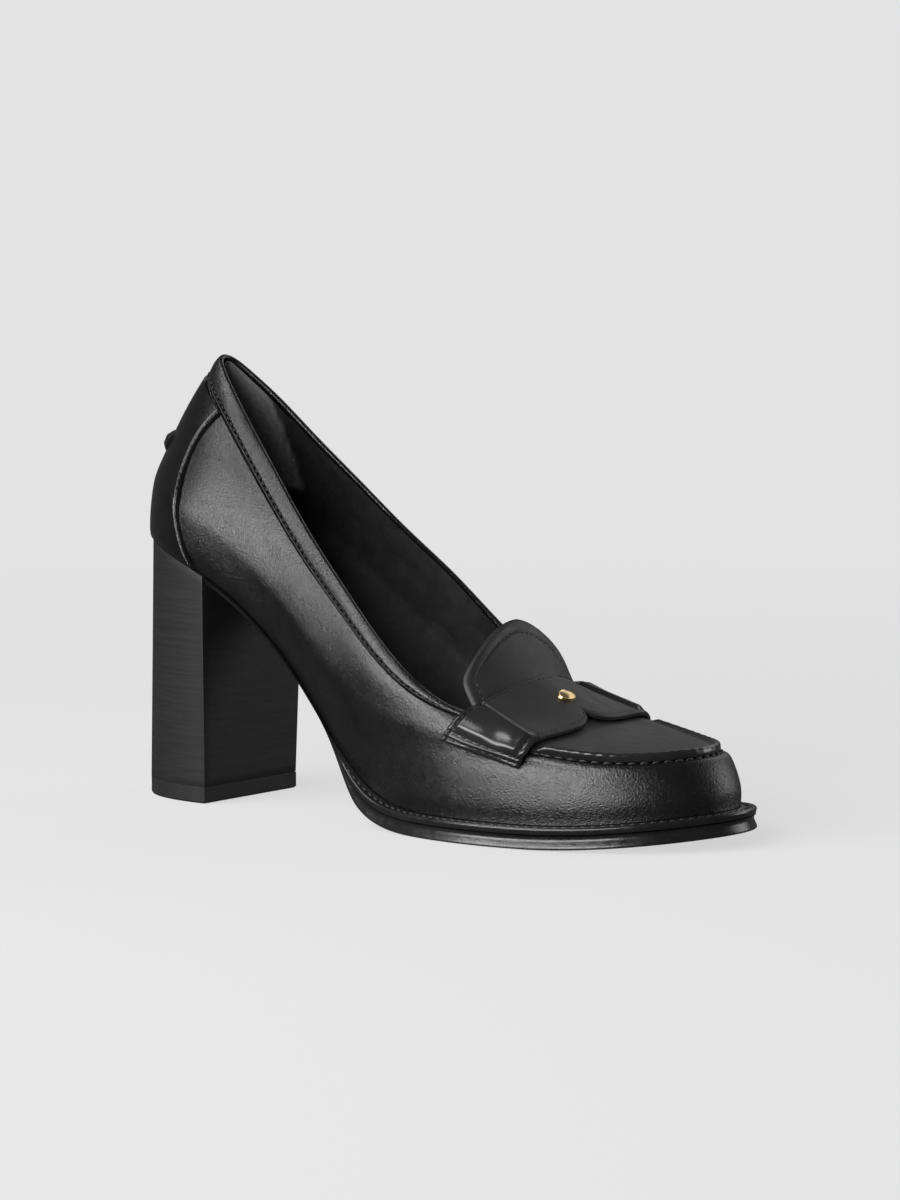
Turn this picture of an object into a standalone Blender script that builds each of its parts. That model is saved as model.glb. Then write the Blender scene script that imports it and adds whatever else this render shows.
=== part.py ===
"""A loafer pump for the right foot: a hollow leather upper on a high block heel.

Metres, +Z up. The toe points along +X, the inner (medial) side of the foot is +Y,
and the shoe stands on z = 0 with its bounding box centred on the origin in X and Y.

The upper's outer skin is one smooth form, a ring of sections from the heel's back
round the toe and back again. Every other leather piece is laid on that skin, and the
sole, welt, insole and heel take their outlines from its lower edge, the feather line.
"""

import math
from collections import namedtuple

import bmesh
import bpy
import numpy as np

# Driving sizes of the last
LENGTH = 0.2260  # heel's back to the sole's toe, along the floor
LAST_LENGTH = 0.2240  # heel's back to the upper's toe, along the floor
BALL_WIDTH = 0.079  # upper across the ball, at the feather line
HEEL_HEIGHT = 0.0865  # feather line above the floor at the heel's back
FORE_HEIGHT = 0.0069  # feather line above the floor at the ball
QUARTER_HEIGHT = 0.065  # topline above the footbed at the back
TOE_SWING = 0.0058  # how far the toe bends to the inner side
SWING_START = 0.05  # where that bend begins, from the heel's back
INSTEP_LEAN = 0.0018  # how far the instep's ridge lies to the outer side

# Leather
UPPER_WALL = 0.0018
COLLAR_STEP = 0.0006  # how far the turned edge at the topline stands proud
COLLAR_BAND = 0.0072  # height of that turned edge
PIECE_GAP = 0.0003  # room between pieces that touch
APRON_THICKNESS = 0.0012
APRON_RIM = 0.0013  # extra height of the hand-sewn rim round the apron
STRAP_THICKNESS = 0.0015
TONGUE_THICKNESS = 0.0014
BACK_STRIP_THICKNESS = 0.0009
TAB_THICKNESS = 0.0013

# Sole and heel
OUTSOLE_THICKNESS = 0.0044
SHANK_THICKNESS = 0.0026
WELT_THICKNESS = 0.0020
WELT_WIDTH = 0.0040  # beyond the feather line
WELT_INSIDE = 0.0012  # under the upper
WELT_START = 0.405  # share of the last's length where it runs out
INSOLE_THICKNESS = 0.0016
EDGE_HOLLOW = 0.0008  # depth of the groove round the sole's edge
SOLE_BEVEL = 0.0007
BREAST_TOP = 0.0385  # heel's front face, from the heel's back
BREAST_BOTTOM = 0.0370
HEEL_FOOT_HALF = 0.0232  # half the heel's width on the floor
HEEL_FOOT_BACK = 0.0006  # rear of the heel on the floor
TOP_PIECE_THICKNESS = 0.0055

# Saddle strap, as slanted slices through the skin
SLICE_SLOPE = 0.75  # how far a slice leans forward for each metre of height
STRAP_PLACE = 0.5268  # share of the last's length where the strap's rear slice meets the floor
STRAP_REAR = STRAP_PLACE * LAST_LENGTH
STRAP_WIDTH = 0.0318  # along the floor, rear slice to front slice
STRAP_NOTCH = 0.0075  # how far the front edge is cut back at its middle
STRAP_REACH = 0.0428  # from the ridge down each side, at the rear
STRAP_REACH_FRONT = 0.0402
STRAP_SKEW = 0.0038  # how far forward its outer end lies, and its inner end back
APRON_LAP = 0.0110  # how far the strap covers the tongue before the apron begins
APRON_END = STRAP_REAR + APRON_LAP

# Tongue
TONGUE_BEHIND = 0.0022  # how far behind the strap's rear slice it leaves the skin
TONGUE_ROOT = STRAP_REAR - TONGUE_BEHIND
TONGUE_RISE = 0.0217  # free length beyond that, in the middle
TONGUE_HALF = 0.0280  # along the skin, from the ridge
TONGUE_TIP_SWING = 0.0022  # how far its tip lies to the inner side
TONGUE_LEAN = (54.0, 68.0)  # degrees above the floor, at its root and its tip
TONGUE_SHOULDER = 0.32  # share of the free length where its sides begin to close in

# Small pieces at the back
STRIP_HALF = 0.0480  # half the back strip's girth at its foot
TAB_HALF = 0.0135
TAB_HEIGHT = 0.0050
TAB_UP = 0.50  # share of the wall's height

# Stud in the middle of the strap
STUD_LENGTH = 0.0080
STUD_WIDTH = 0.0050
STUD_HEIGHT = 0.0016

# The footbed from the side: how far along the last, and how much of the heel's rise is left
PROFILE = (
    # along, rise
    (0.000, 1.000),
    (0.023, 0.990),
    (0.062, 0.971),
    (0.121, 0.911),
    (0.188, 0.833),
    (0.259, 0.698),
    (0.339, 0.485),
    (0.424, 0.162),
    (0.464, 0.067),
    (0.513, 0.004),
    (0.562, 0.000),
    (0.714, 0.000),
    (0.812, 0.000),
    (0.902, 0.021),
    (0.969, 0.044),
    (1.000, 0.055),
)

# Sections of the upper, from the heel's back to the toe. Lengths along are shares of
# LAST_LENGTH, halves are shares of half the BALL_WIDTH, and heights above the footbed
# are shares of QUARTER_HEIGHT. Foot is the feather line, knee is where the wall turns
# in, which is the moccasin seam at the toe, crown lies above it and edge is the topline.
Section = namedtuple(
    "Section",
    "foot_along foot_outer foot_inner knee_along knee_half knee_up"
    " crown_along crown_half crown_up edge_along edge_half edge_up",
)
SECTIONS = (
    Section(0.011, 0.00, 0.00, 0.020, 0.00, 0.333, 0.069, 0.00, 0.704, 0.118, 0.00, 0.999),
    Section(0.023, 0.30, 0.30, 0.034, 0.28, 0.333, 0.079, 0.19, 0.704, 0.124, 0.10, 0.988),
    Section(0.062, 0.53, 0.53, 0.072, 0.49, 0.322, 0.114, 0.35, 0.680, 0.148, 0.18, 0.939),
    Section(0.121, 0.64, 0.64, 0.132, 0.63, 0.308, 0.167, 0.48, 0.632, 0.188, 0.28, 0.867),
    Section(0.188, 0.65, 0.64, 0.199, 0.65, 0.287, 0.225, 0.54, 0.576, 0.241, 0.37, 0.791),
    Section(0.259, 0.62, 0.56, 0.270, 0.65, 0.286, 0.290, 0.60, 0.545, 0.304, 0.50, 0.760),
    Section(0.339, 0.60, 0.51, 0.348, 0.69, 0.323, 0.362, 0.68, 0.563, 0.371, 0.62, 0.796),
    Section(0.424, 0.65, 0.55, 0.433, 0.79, 0.426, 0.435, 0.78, 0.664, 0.438, 0.73, 0.894),
    Section(0.513, 0.78, 0.73, 0.522, 0.91, 0.425, 0.513, 0.89, 0.651, 0.502, 0.79, 0.821),
    Section(0.612, 0.95, 0.95, 0.616, 0.98, 0.400, 0.589, 0.91, 0.537, 0.571, 0.82, 0.643),
    Section(0.714, 1.01, 0.99, 0.714, 0.93, 0.368, 0.679, 0.85, 0.440, 0.634, 0.81, 0.503),
    Section(0.812, 0.94, 0.90, 0.808, 0.84, 0.320, 0.741, 0.72, 0.396, 0.667, 0.67, 0.474),
    Section(0.902, 0.76, 0.72, 0.891, 0.67, 0.266, 0.777, 0.49, 0.348, 0.675, 0.44, 0.528),
    Section(0.969, 0.44, 0.42, 0.949, 0.37, 0.258, 0.792, 0.23, 0.328, 0.676, 0.21, 0.570),
    Section(1.000, 0.00, 0.00, 0.971, 0.00, 0.253, 0.797, 0.00, 0.320, 0.676, 0.00, 0.585),
)
TOE = len(SECTIONS) - 1  # station of the toe; the heel's back is station 0
ROUND = 2 * TOE  # stations all the way round
TOP = 6  # row of the topline; the feather line is row 0
SEAM_ROW = 3.05  # row of the moccasin seam

# Rows from the feather line up to the topline: between which levels, and the share of the
# way across and up. The wall bellies out because it goes up before it goes across.
ROW_MIX = (
    # from, to, across, up
    ("foot", "knee", 0.00, 0.00),
    ("foot", "knee", 0.16, 0.42),
    ("foot", "knee", 0.62, 0.82),
    ("knee", "crown", 0.00, 0.00),
    ("knee", "crown", 0.40, 0.40),
    ("knee", "crown", 1.00, 1.00),
    ("crown", "edge", 1.00, 1.00),
)

# Half girth of the back strip, from its foot up to the turned edge
STRIP_SHAPE = (
    # up, half
    (0.00, 1.00),
    (0.16, 0.84),
    (0.34, 0.77),
    (0.55, 0.71),
    (0.75, 0.63),
    (0.90, 0.56),
    (1.00, 0.52),
)

# Front edge of the strap: how far out from the ridge, and how much of the notch is cut
NOTCH = (
    # out, cut
    (0.00, 1.00),
    (0.04, 0.62),
    (0.10, 0.30),
    (0.20, 0.06),
    (0.32, 0.00),
    (0.60, 0.04),
    (1.00, 0.10),
)

# Resolution of the solids
UPPER_ROUND_STEPS = 84  # three to a station
UPPER_ROWS_BELOW_SEAM = (0.0, 0.6, 1.2, 1.8, 2.4)
UPPER_SHARES_ABOVE_SEAM = (0.0, 0.16, 0.32, 0.48, 0.64, 0.82, 1.0)
UPPER_ROWS_INSIDE = (5.9, 5.1, 4.2, 3.3, 2.5, 1.6, 0.8, 0.0)
SOLE_STEPS = 34
HEEL_STEPS = 30

LEATHER_BLACK = (0.012, 0.012, 0.013)
SOLE_BLACK = (0.018, 0.018, 0.018)
STACK_BLACK = (0.022, 0.021, 0.020)
LINING_BLACK = (0.008, 0.008, 0.008)
GOLD = (0.83, 0.62, 0.27)


def clear_scene():
    """Removes what the startup scene holds."""
    for obj in list(bpy.data.objects):
        bpy.data.objects.remove(obj)


def material(name, colour, roughness, metallic=0.0):
    """A plain Principled finish."""
    made = bpy.data.materials.new(name)
    made.use_nodes = True
    shader = made.node_tree.nodes["Principled BSDF"]
    shader.inputs["Base Color"].default_value = (*colour, 1.0)
    shader.inputs["Roughness"].default_value = roughness
    shader.inputs["Metallic"].default_value = metallic
    return made


def blend(low, high, x):
    """0 below low, 1 above high, and smooth between."""
    share = np.clip((np.asarray(x, float) - low) / (high - low), 0.0, 1.0)
    return share * share * (3.0 - 2.0 * share)


def through(table, x):
    """A smooth curve through the rows of a two-column table (cubic, no overshoot at its ends)."""
    knots, values = np.array(table, float).T
    slopes = np.gradient(values, knots)
    x = np.clip(np.asarray(x, float), knots[0], knots[-1])
    i = np.clip(np.searchsorted(knots, x, side="right") - 1, 0, len(knots) - 2)
    step = knots[i + 1] - knots[i]
    u = (x - knots[i]) / step
    return (
        values[i] * (2 * u**3 - 3 * u**2 + 1)
        + slopes[i] * step * (u**3 - 2 * u**2 + u)
        + values[i + 1] * (3 * u**2 - 2 * u**3)
        + slopes[i + 1] * step * (u**3 - u**2)
    )


def footbed(along):
    """Height of the footbed above the floor, at a length from the heel's back."""
    rise = through(PROFILE, np.asarray(along, float) / LAST_LENGTH)
    return FORE_HEIGHT + (HEEL_HEIGHT - FORE_HEIGHT) * rise


def middle(along):
    """Y of the last's middle line, which bends to the inner side at the toe."""
    share = np.maximum(0.0, (np.asarray(along, float) - SWING_START) / (LAST_LENGTH - SWING_START))
    return TOE_SWING * share**1.5


def ridge_lean(along, level):
    """How far a level of the instep lies to the outer side of the middle line."""
    share = along / LAST_LENGTH
    held = blend(0.42, 0.58, share) * (1.0 - blend(0.74, 0.92, share))
    return INSTEP_LEAN * {"foot": 0.0, "knee": 0.3, "crown": 1.0, "edge": 1.0}[level] * held


def control_net():
    """Control points of the skin: one column for each station round the shoe, one row for each level."""
    columns = []
    for station in range(ROUND):
        section = SECTIONS[station if station <= TOE else ROUND - station]
        side = -1.0 if station <= TOE else 1.0
        halves = {
            "foot": section.foot_outer if station <= TOE else section.foot_inner,
            "knee": section.knee_half,
            "crown": section.crown_half,
            "edge": section.edge_half,
        }
        alongs = {
            "foot": section.foot_along,
            "knee": section.knee_along,
            "crown": section.crown_along,
            "edge": section.edge_along,
        }
        ups = {"foot": 0.0, "knee": section.knee_up, "crown": section.crown_up, "edge": section.edge_up}
        place = {}
        for level, half in halves.items():
            x = alongs[level] * LAST_LENGTH
            y = middle(x) + side * half * BALL_WIDTH / 2 - ridge_lean(x, level)
            z = footbed(x) + ups[level] * QUARTER_HEIGHT
            place[level] = np.array((x, float(y), float(z)))
        columns.append(
            [place[a] + (place[b] - place[a]) * np.array((out, out, up)) for a, b, out, up in ROW_MIX]
        )
    net = np.array(columns)
    first = 2 * net[:, :1] - net[:, 1:2]
    last = 2 * net[:, -1:] - net[:, -2:-1]
    return np.concatenate([first, net, last], axis=1)


NET = control_net()


def cubic_weights(u):
    """Weights of the four nearest control points of a uniform cubic B-spline."""
    return np.stack(
        [(1 - u) ** 3, 3 * u**3 - 6 * u**2 + 4, -3 * u**3 + 3 * u**2 + 3 * u + 1, u**3], axis=-1
    ) / 6.0


def skin(station, row):
    """The upper's outer skin at a station round the shoe and a row up its wall."""
    station, row = np.broadcast_arrays(np.asarray(station, float), np.asarray(row, float))
    row = np.clip(row, 0.0, TOP - 1e-9)
    i = np.floor(station).astype(int)
    j = np.floor(row).astype(int)
    around = cubic_weights(station - i)
    upward = cubic_weights(row - j)
    columns = (i[..., None] + np.arange(-1, 3)) % ROUND
    rows = j[..., None] + np.arange(0, 4)
    picked = NET[columns[..., :, None], rows[..., None, :]]
    return np.einsum("...a,...b,...abk->...k", around, upward, picked)


def unit(vectors):
    return vectors / np.linalg.norm(vectors, axis=-1, keepdims=True)


def on_skin(station, row, out=0.0):
    """A point that stands out from the skin along its normal."""
    step = 0.01
    row = np.asarray(row, float)
    along = skin(np.add(station, step), row) - skin(np.subtract(station, step), row)
    upward = skin(station, row + step) - skin(station, row - step)
    normal = unit(np.cross(along, upward))
    return skin(station, row) + normal * np.asarray(out, float)[..., None]


def feather(station):
    """The feather line and its outward normal in plan."""
    step = 0.02
    ahead = skin(np.add(station, step), 0.0) - skin(np.subtract(station, step), 0.0)
    normal = unit(np.stack([ahead[..., 1], -ahead[..., 0], np.zeros_like(ahead[..., 0])], axis=-1))
    return skin(station, 0.0), normal


def station_at(along):
    """The outer station whose feather line lies at this length from the heel's back."""
    stations = np.linspace(0.0, TOE, 561)
    return float(np.interp(along, skin(stations, 0.0)[:, 0], stations))


def slice_line(start, steps=64):
    """Stations and rows where a slanted slice cuts the outer half of the skin, from the ridge down,
    with their distance from the ridge. Rays fan out from the toe's foot, and each is halved down."""
    angle = np.linspace(math.pi / 2, 0.0, steps)
    near = np.zeros(steps)
    reach = np.minimum(7.0 / np.maximum(np.cos(angle), 1e-6), TOP / np.maximum(np.sin(angle), 1e-6))
    far = reach.copy()
    for _ in range(34):
        mid = (near + far) / 2
        spot = skin(TOE - mid * np.cos(angle), mid * np.sin(angle))
        ahead = spot[:, 0] - SLICE_SLOPE * spot[:, 2] > start
        near = np.where(ahead, mid, near)
        far = np.where(ahead, far, mid)
    station, row = TOE - near * np.cos(angle), near * np.sin(angle)
    girth = np.concatenate([[0.0], np.cumsum(np.linalg.norm(np.diff(skin(station, row), axis=0), axis=1))])
    return station, row, girth


def on_slice(start, girths, out):
    """Points on a slice at signed girths from the ridge, outer side negative, standing out by out."""
    station, row, girth = slice_line(start)
    girths = np.asarray(girths, float)
    s = np.interp(np.abs(girths), girth, station)
    r = np.interp(np.abs(girths), girth, row)
    return on_skin(np.where(girths <= 0, s, ROUND - s), r, out)


def seam_girth(start):
    """Distance from the ridge to the moccasin seam, along a slice."""
    _, row, girth = slice_line(start)
    return float(np.interp(-SEAM_ROW, -row, girth))


def to_origin(points):
    """From the last's own frame to one centred on the shoe's footprint."""
    stations = np.linspace(0.0, ROUND, 337)
    edge, normal = feather(stations)
    widest = (edge + normal * WELT_WIDTH)[:, 1]
    centre = np.array((LENGTH / 2, (widest.min() + widest.max()) / 2, 0.0))
    return np.asarray(points) - centre


def mesh_object(name, points, faces, finish, collection):
    """A shaded object from points in the last's frame, its doubles merged and its faces outward."""
    shape = bmesh.new()
    corners = [shape.verts.new(p) for p in to_origin(points)]
    for face in faces:
        distinct = list(dict.fromkeys(face))
        if len(distinct) > 2:
            shape.faces.new([corners[i] for i in distinct])
    bmesh.ops.remove_doubles(shape, verts=shape.verts, dist=1e-5)
    bmesh.ops.dissolve_degenerate(shape, edges=shape.edges, dist=1e-6)
    bmesh.ops.recalc_face_normals(shape, faces=shape.faces)
    mesh = bpy.data.meshes.new(name)
    shape.to_mesh(mesh)
    shape.free()
    mesh.shade_smooth()
    mesh.set_sharp_from_angle(angle=math.radians(40))
    mesh.materials.append(finish)
    obj = bpy.data.objects.new(name, mesh)
    collection.objects.link(obj)
    return obj


def loft(name, rings, finish, collection, closed=False, caps=True):
    """A solid through closed rings of equal count. Closed joins the last ring to the first."""
    rings = np.asarray(rings)
    count, size = rings.shape[:2]
    faces = []
    for a in range(count if closed else count - 1):
        b = (a + 1) % count
        for i in range(size):
            j = (i + 1) % size
            faces.append((a * size + i, a * size + j, b * size + j, b * size + i))
    if caps and not closed:
        faces.append(tuple(range(size)))
        faces.append(tuple((count - 1) * size + i for i in reversed(range(size))))
    return mesh_object(name, rings.reshape(-1, 3), faces, finish, collection)


def plate(name, under, over, finish, collection):
    """A solid between two grids of points, such as a piece of leather laid on the skin."""
    rings = np.concatenate([under, over[:, ::-1]], axis=1)
    rows, columns = under.shape[:2]
    size = 2 * columns
    faces = []
    for a in range(rows - 1):
        for i in range(size):
            j = (i + 1) % size
            faces.append((a * size + i, a * size + j, (a + 1) * size + j, (a + 1) * size + i))
    for ring in (0, rows - 1):
        for i in range(columns - 1):
            start = ring * size
            faces.append((start + i, start + i + 1, start + size - 2 - i, start + size - 1 - i))
    return mesh_object(name, rings.reshape(-1, 3), faces, finish, collection)


def wall_height(station):
    """Length of the wall's meridian from the feather line to the topline."""
    rows = np.linspace(0.0, TOP, 61)
    return float(np.linalg.norm(np.diff(skin(station, rows), axis=0), axis=1).sum())


def row_below_top(station, drop):
    """The row that lies this far below the topline, along the wall."""
    rows = np.linspace(TOP, 0.0, 121)
    down = np.concatenate([[0.0], np.cumsum(np.linalg.norm(np.diff(skin(station, rows), axis=0), axis=1))])
    return float(np.interp(drop, down, rows))


def make_upper(finish, collection):
    """One hollow wall, open at the topline and underneath, its turned edge a step in the wall."""
    rings = []
    for step in range(UPPER_ROUND_STEPS):
        station = step * ROUND / UPPER_ROUND_STEPS
        band = row_below_top(station, COLLAR_BAND)
        shoulder = row_below_top(station, COLLAR_BAND * 0.86)
        outside = list(UPPER_ROWS_BELOW_SEAM)
        outside += [SEAM_ROW + (band - SEAM_ROW) * share for share in UPPER_SHARES_ABOVE_SEAM]
        turned = COLLAR_STEP * float(blend(2.8, 3.7, abs(station - TOE)))
        lift = [0.0] * len(outside) + [turned, turned, turned * 0.3]
        outside += [shoulder, TOP - 0.12, TOP]
        ring = [on_skin(station, row, out) for row, out in zip(outside, lift)]
        ring.append(on_skin(station, TOP, -UPPER_WALL * 0.75))
        ring += [on_skin(station, row, -UPPER_WALL) for row in UPPER_ROWS_INSIDE]
        rings.append(ring)
    return loft("upper", rings, finish, collection, closed=True)


def edge_pair(station, out, drop):
    """The outer and the inner edge point of a sole layer at one station, set out and let down."""
    pair = []
    for side in (station, ROUND - station):
        point, normal = feather(side)
        pair.append(point + normal * out - np.array((0.0, 0.0, drop)))
    return pair


def welt_reach(along):
    """How far the sole stands out past the feather line: flush at the waist, full at the ball."""
    return WELT_WIDTH * blend(0.38, 0.51, along / LAST_LENGTH)


def sole_stations(start, steps):
    """Stations from a length along the sole to the toe, closer together at the toe."""
    first = station_at(start)
    return [TOE - (TOE - first) * (1 - k / steps) ** 1.25 for k in range(steps + 1)]


def make_outsole(finish, collection):
    """Forepart and shank in one, from the heel's breast to the toe, with a groove round its edge."""
    rings = []
    for station in sole_stations(BREAST_TOP + PIECE_GAP, SOLE_STEPS):
        along = feather(station)[0][0]
        fore = float(blend(0.37, 0.48, along / LAST_LENGTH))
        drop = PIECE_GAP + (WELT_THICKNESS + PIECE_GAP) * fore
        thickness = SHANK_THICKNESS + (OUTSOLE_THICKNESS - SHANK_THICKNESS) * fore
        reach = welt_reach(along)
        hollow = EDGE_HOLLOW * (0.35 + 0.65 * fore)
        rows = (
            (reach - hollow * 0.4, 0.0),
            (reach - hollow, thickness * 0.35),
            (reach - hollow * 0.2, thickness * 0.62),
            (reach + 0.0002 * fore, thickness * 0.80),
            (reach - SOLE_BEVEL, thickness),
        )
        outer = [edge_pair(station, out, drop + down) for out, down in rows]
        sides = [pair[0] for pair in outer] + [pair[1] for pair in reversed(outer)]
        for corner in sides:
            corner[2] = max(0.0, corner[2])
        rings.append(sides)
    return loft("outsole", rings, finish, collection)


def make_welt(finish, collection):
    """A strip on the outsole's edge round the forepart, its ends run out at the waist."""
    first = station_at(WELT_START * LAST_LENGTH)
    rings = []
    for k in range(2 * SOLE_STEPS + 1):
        share = abs(1 - k / SOLE_STEPS)
        station = TOE - (TOE - first) * share**1.25
        if k > SOLE_STEPS:
            station = ROUND - station
        point, normal = feather(station)
        reach = float(welt_reach(point[0]))
        fore = float(blend(0.37, 0.48, point[0] / LAST_LENGTH))
        thickness = WELT_THICKNESS * fore
        corners = (
            (-WELT_INSIDE, 0.0),
            (reach - 0.0003, 0.0),
            (reach, thickness * 0.25),
            (reach - EDGE_HOLLOW * 0.3, thickness),
            (-WELT_INSIDE, thickness),
        )
        ring = [
            point + normal * out - np.array((0.0, 0.0, PIECE_GAP + down)) for out, down in corners
        ]
        rings.append(ring)
    return loft("welt", rings, finish, collection)


def make_insole(finish, collection):
    """The sock lining: a thin sheet on the footbed, inside the wall."""
    under, over = [], []
    inset = UPPER_WALL + 2 * PIECE_GAP
    for k in range(SOLE_STEPS + 1):
        station = TOE * (0.5 - 0.5 * math.cos(math.pi * k / SOLE_STEPS))
        low, high = [], []
        outer = on_skin(station, 0.0, -inset)
        inner = on_skin(ROUND - station, 0.0, -inset)
        top_outer = on_skin(station, 0.35, -inset)
        top_inner = on_skin(ROUND - station, 0.35, -inset)
        for share in (0.0, 0.25, 0.5, 0.75, 1.0):
            spot = outer + (inner - outer) * share
            above = top_outer + (top_inner - top_outer) * share
            above[2] = spot[2] + INSOLE_THICKNESS
            low.append(spot + np.array((0.0, 0.0, PIECE_GAP)))
            high.append(above + np.array((0.0, 0.0, PIECE_GAP)))
        under.append(low)
        over.append(high)
    return plate("insole", np.array(under), np.array(over), finish, collection)


def heel_outline(share):
    """Half the heel's plan at one share of its height, from the middle of the back to the breast corner.
    The top takes the feather line, the foot takes its own rounded plan, and both have the same count."""
    last = station_at(BREAST_TOP)
    foot_length = BREAST_BOTTOM - HEEL_FOOT_BACK
    rows = []
    for k in range(HEEL_STEPS // 2 + 1):
        part = k / (HEEL_STEPS // 2)
        top, _ = feather(last * part**0.9)
        angle = math.radians(100.0) * part
        x = HEEL_FOOT_BACK + foot_length * min(1.0, (1 - math.cos(angle)) / 1.06)
        y = HEEL_FOOT_HALF * min(1.0, math.sin(min(angle, math.pi / 2)) ** 0.82)
        if k == HEEL_STEPS // 2:
            x = BREAST_BOTTOM
        bottom = np.array((x, -y, 0.0))
        rows.append(bottom + (top - bottom) * share)
    return rows


def heel_ring(share, height=None):
    """A closed ring of the heel, outer side first and the inner side mirrored about the middle line."""
    outer = heel_outline(share)
    inner = [p * np.array((1.0, -1.0, 1.0)) for p in reversed(outer[1:])]
    ring = np.array(outer + inner)
    if height is not None:
        ring[:, 2] = height
    return ring


def make_heel(finish, collection):
    """The stacked block: a rounded back, a flat breast, and a top that fits the upper's seat."""
    rings = []
    start = TOP_PIECE_THICKNESS + PIECE_GAP
    for k in range(5):
        share = k / 4
        ring = heel_ring(share)
        ring[:, 2] = start + (heel_ring(1.0)[:, 2] - PIECE_GAP - start) * share
        rings.append(ring)
    return loft("heel", rings, finish, collection)


def make_top_piece(finish, collection):
    """The rubber lift under the heel."""
    bevel = 0.0004
    rings = []
    for height, inset in ((0.0, bevel), (bevel, 0.0), (TOP_PIECE_THICKNESS, 0.0)):
        ring = heel_ring(0.03, height)
        centre = ring.mean(axis=0)
        shrink = 1.0 - inset / HEEL_FOOT_HALF
        ring[:, :2] = centre[:2] + (ring[:, :2] - centre[:2]) * shrink
        rings.append(ring)
    return loft("top_piece", rings, finish, collection)


def make_apron(finish, collection):
    """The plug on top of the toe, with the sewn rim that stands up along the moccasin seam."""
    first = 10.0
    under, over = [], []
    stations = np.arange(first * 3, (ROUND - first) * 3 + 0.5) / 3
    rim = [(0.0, 0.55), (0.035, 1.0), (0.075, 1.0), (0.12, 0.12)]
    rim += [(share, 0.0) for share in (0.22, 0.34, 0.47, 0.60, 0.73, 0.86, 1.0)]
    for station in stations:
        rows = np.linspace(SEAM_ROW, TOP, 181)
        spots = skin(station, rows)
        ahead = spots[:, 0] - SLICE_SLOPE * spots[:, 2] - APRON_END
        end = float(np.interp(0.0, -ahead, rows))
        low, high = [], []
        for share, lift in rim:
            row = SEAM_ROW + (end - SEAM_ROW) * share
            spot = skin(station, row)
            across = np.clip((spot[1] - middle(spot[0])) / STRAP_REACH, -1.0, 1.0)
            strap_end = STRAP_REAR + STRAP_WIDTH + strap_shift(across)
            clear = float(blend(0.0026, 0.0066, spot[0] - SLICE_SLOPE * spot[2] - strap_end))
            low.append(on_skin(station, row, 1.4 * PIECE_GAP))
            high.append(on_skin(station, row, PIECE_GAP + APRON_THICKNESS + APRON_RIM * lift * clear))
        under.append(low)
        over.append(high)
    return plate("apron", np.array(under), np.array(over), finish, collection)


def strap_front(across):
    """How far forward the strap reaches at a share of the way out from the ridge."""
    return STRAP_REAR + STRAP_WIDTH - STRAP_NOTCH * float(through(NOTCH, abs(across)))


def strap_shift(share):
    """How far forward the strap's skew puts a share of the way out from the ridge."""
    return -STRAP_SKEW * share


def strap_lift(girth, start):
    """Height of the strap's underside over the skin: above the apron and the tongue's root, and down
    to the wall at its ends."""
    covered = max(seam_girth(start), TONGUE_HALF)
    on_wall = blend(0.0013, 0.0058, np.abs(girth) - covered)
    above_apron = 3 * PIECE_GAP + APRON_THICKNESS + 0.0001
    return above_apron + (PIECE_GAP - above_apron) * on_wall


def make_saddle_strap(finish, collection):
    """The band over the instep, its front edge cut in two lobes and its ends sewn to the sides."""
    across = np.concatenate([-np.linspace(1.0, 0.1, 11), [-0.04, 0.0, 0.04], np.linspace(0.1, 1.0, 11)])
    lengthways = np.linspace(0.0, 1.0, 8)
    under, over = [], []
    for share in across:
        low, high = [], []
        for part in lengthways:
            start = STRAP_REAR + (strap_front(share) - STRAP_REAR) * part + strap_shift(share)
            reach = STRAP_REACH + (STRAP_REACH_FRONT - STRAP_REACH) * part
            girth = share * reach
            lift = strap_lift(girth, start)
            low.append(on_slice(start, girth, lift))
            high.append(on_slice(start, girth, lift + STRAP_THICKNESS))
        under.append(low)
        over.append(high)
    return plate("saddle_strap", np.array(under), np.array(over), finish, collection)


def outward(grid):
    """Upward normals of a grid of points."""
    normal = unit(np.cross(np.gradient(grid, axis=0), np.gradient(grid, axis=1)))
    return np.where(normal[..., 2:] < 0, -normal, normal)


def tongue_half(share):
    """Half the tongue's width at a share of its free length: a rounded tab."""
    closing = max(0.0, (share - TONGUE_SHOULDER) / (1.0 - TONGUE_SHOULDER))
    return TONGUE_HALF * (1.0 - closing**2.4) ** 0.8


def make_tongue(finish, collection):
    """The tab that stands up behind the strap. Its root lies on the skin behind the apron."""
    across = np.linspace(-1.0, 1.0, 15)
    centre = len(across) // 2
    rows = []
    for part in np.linspace(0.0, 1.0, 5):
        start = APRON_END - 2 * PIECE_GAP + (TONGUE_ROOT - APRON_END + 2 * PIECE_GAP) * part
        girths = across * TONGUE_HALF
        starts = start + strap_shift(girths / STRAP_REACH) * part
        rows.append(np.array([on_slice(s, g, PIECE_GAP) for s, g in zip(starts, girths)]))
    base = rows[-1]
    steps = 9
    spot = np.zeros(2)
    for k in range(1, steps + 1):
        share = k / steps
        lean = math.radians(TONGUE_LEAN[0] + (TONGUE_LEAN[1] - TONGUE_LEAN[0]) * share)
        spot = spot + TONGUE_RISE / steps * np.array((-math.cos(lean), math.sin(lean)))
        width = max(tongue_half(min(share, 0.999)) / TONGUE_HALF, 0.05)
        y = base[centre, 1] + (base[:, 1] - base[centre, 1]) * width
        x = np.interp(y, base[:, 1], base[:, 0])
        z = np.interp(y, base[:, 1], base[:, 2])
        aside = TONGUE_TIP_SWING * share**1.5
        rows.append(np.stack([x + spot[0], y + aside, z + spot[1]], axis=-1))
    low = np.array(rows)
    plate("tongue", low, low + outward(low) * TONGUE_THICKNESS, finish, collection)


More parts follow.
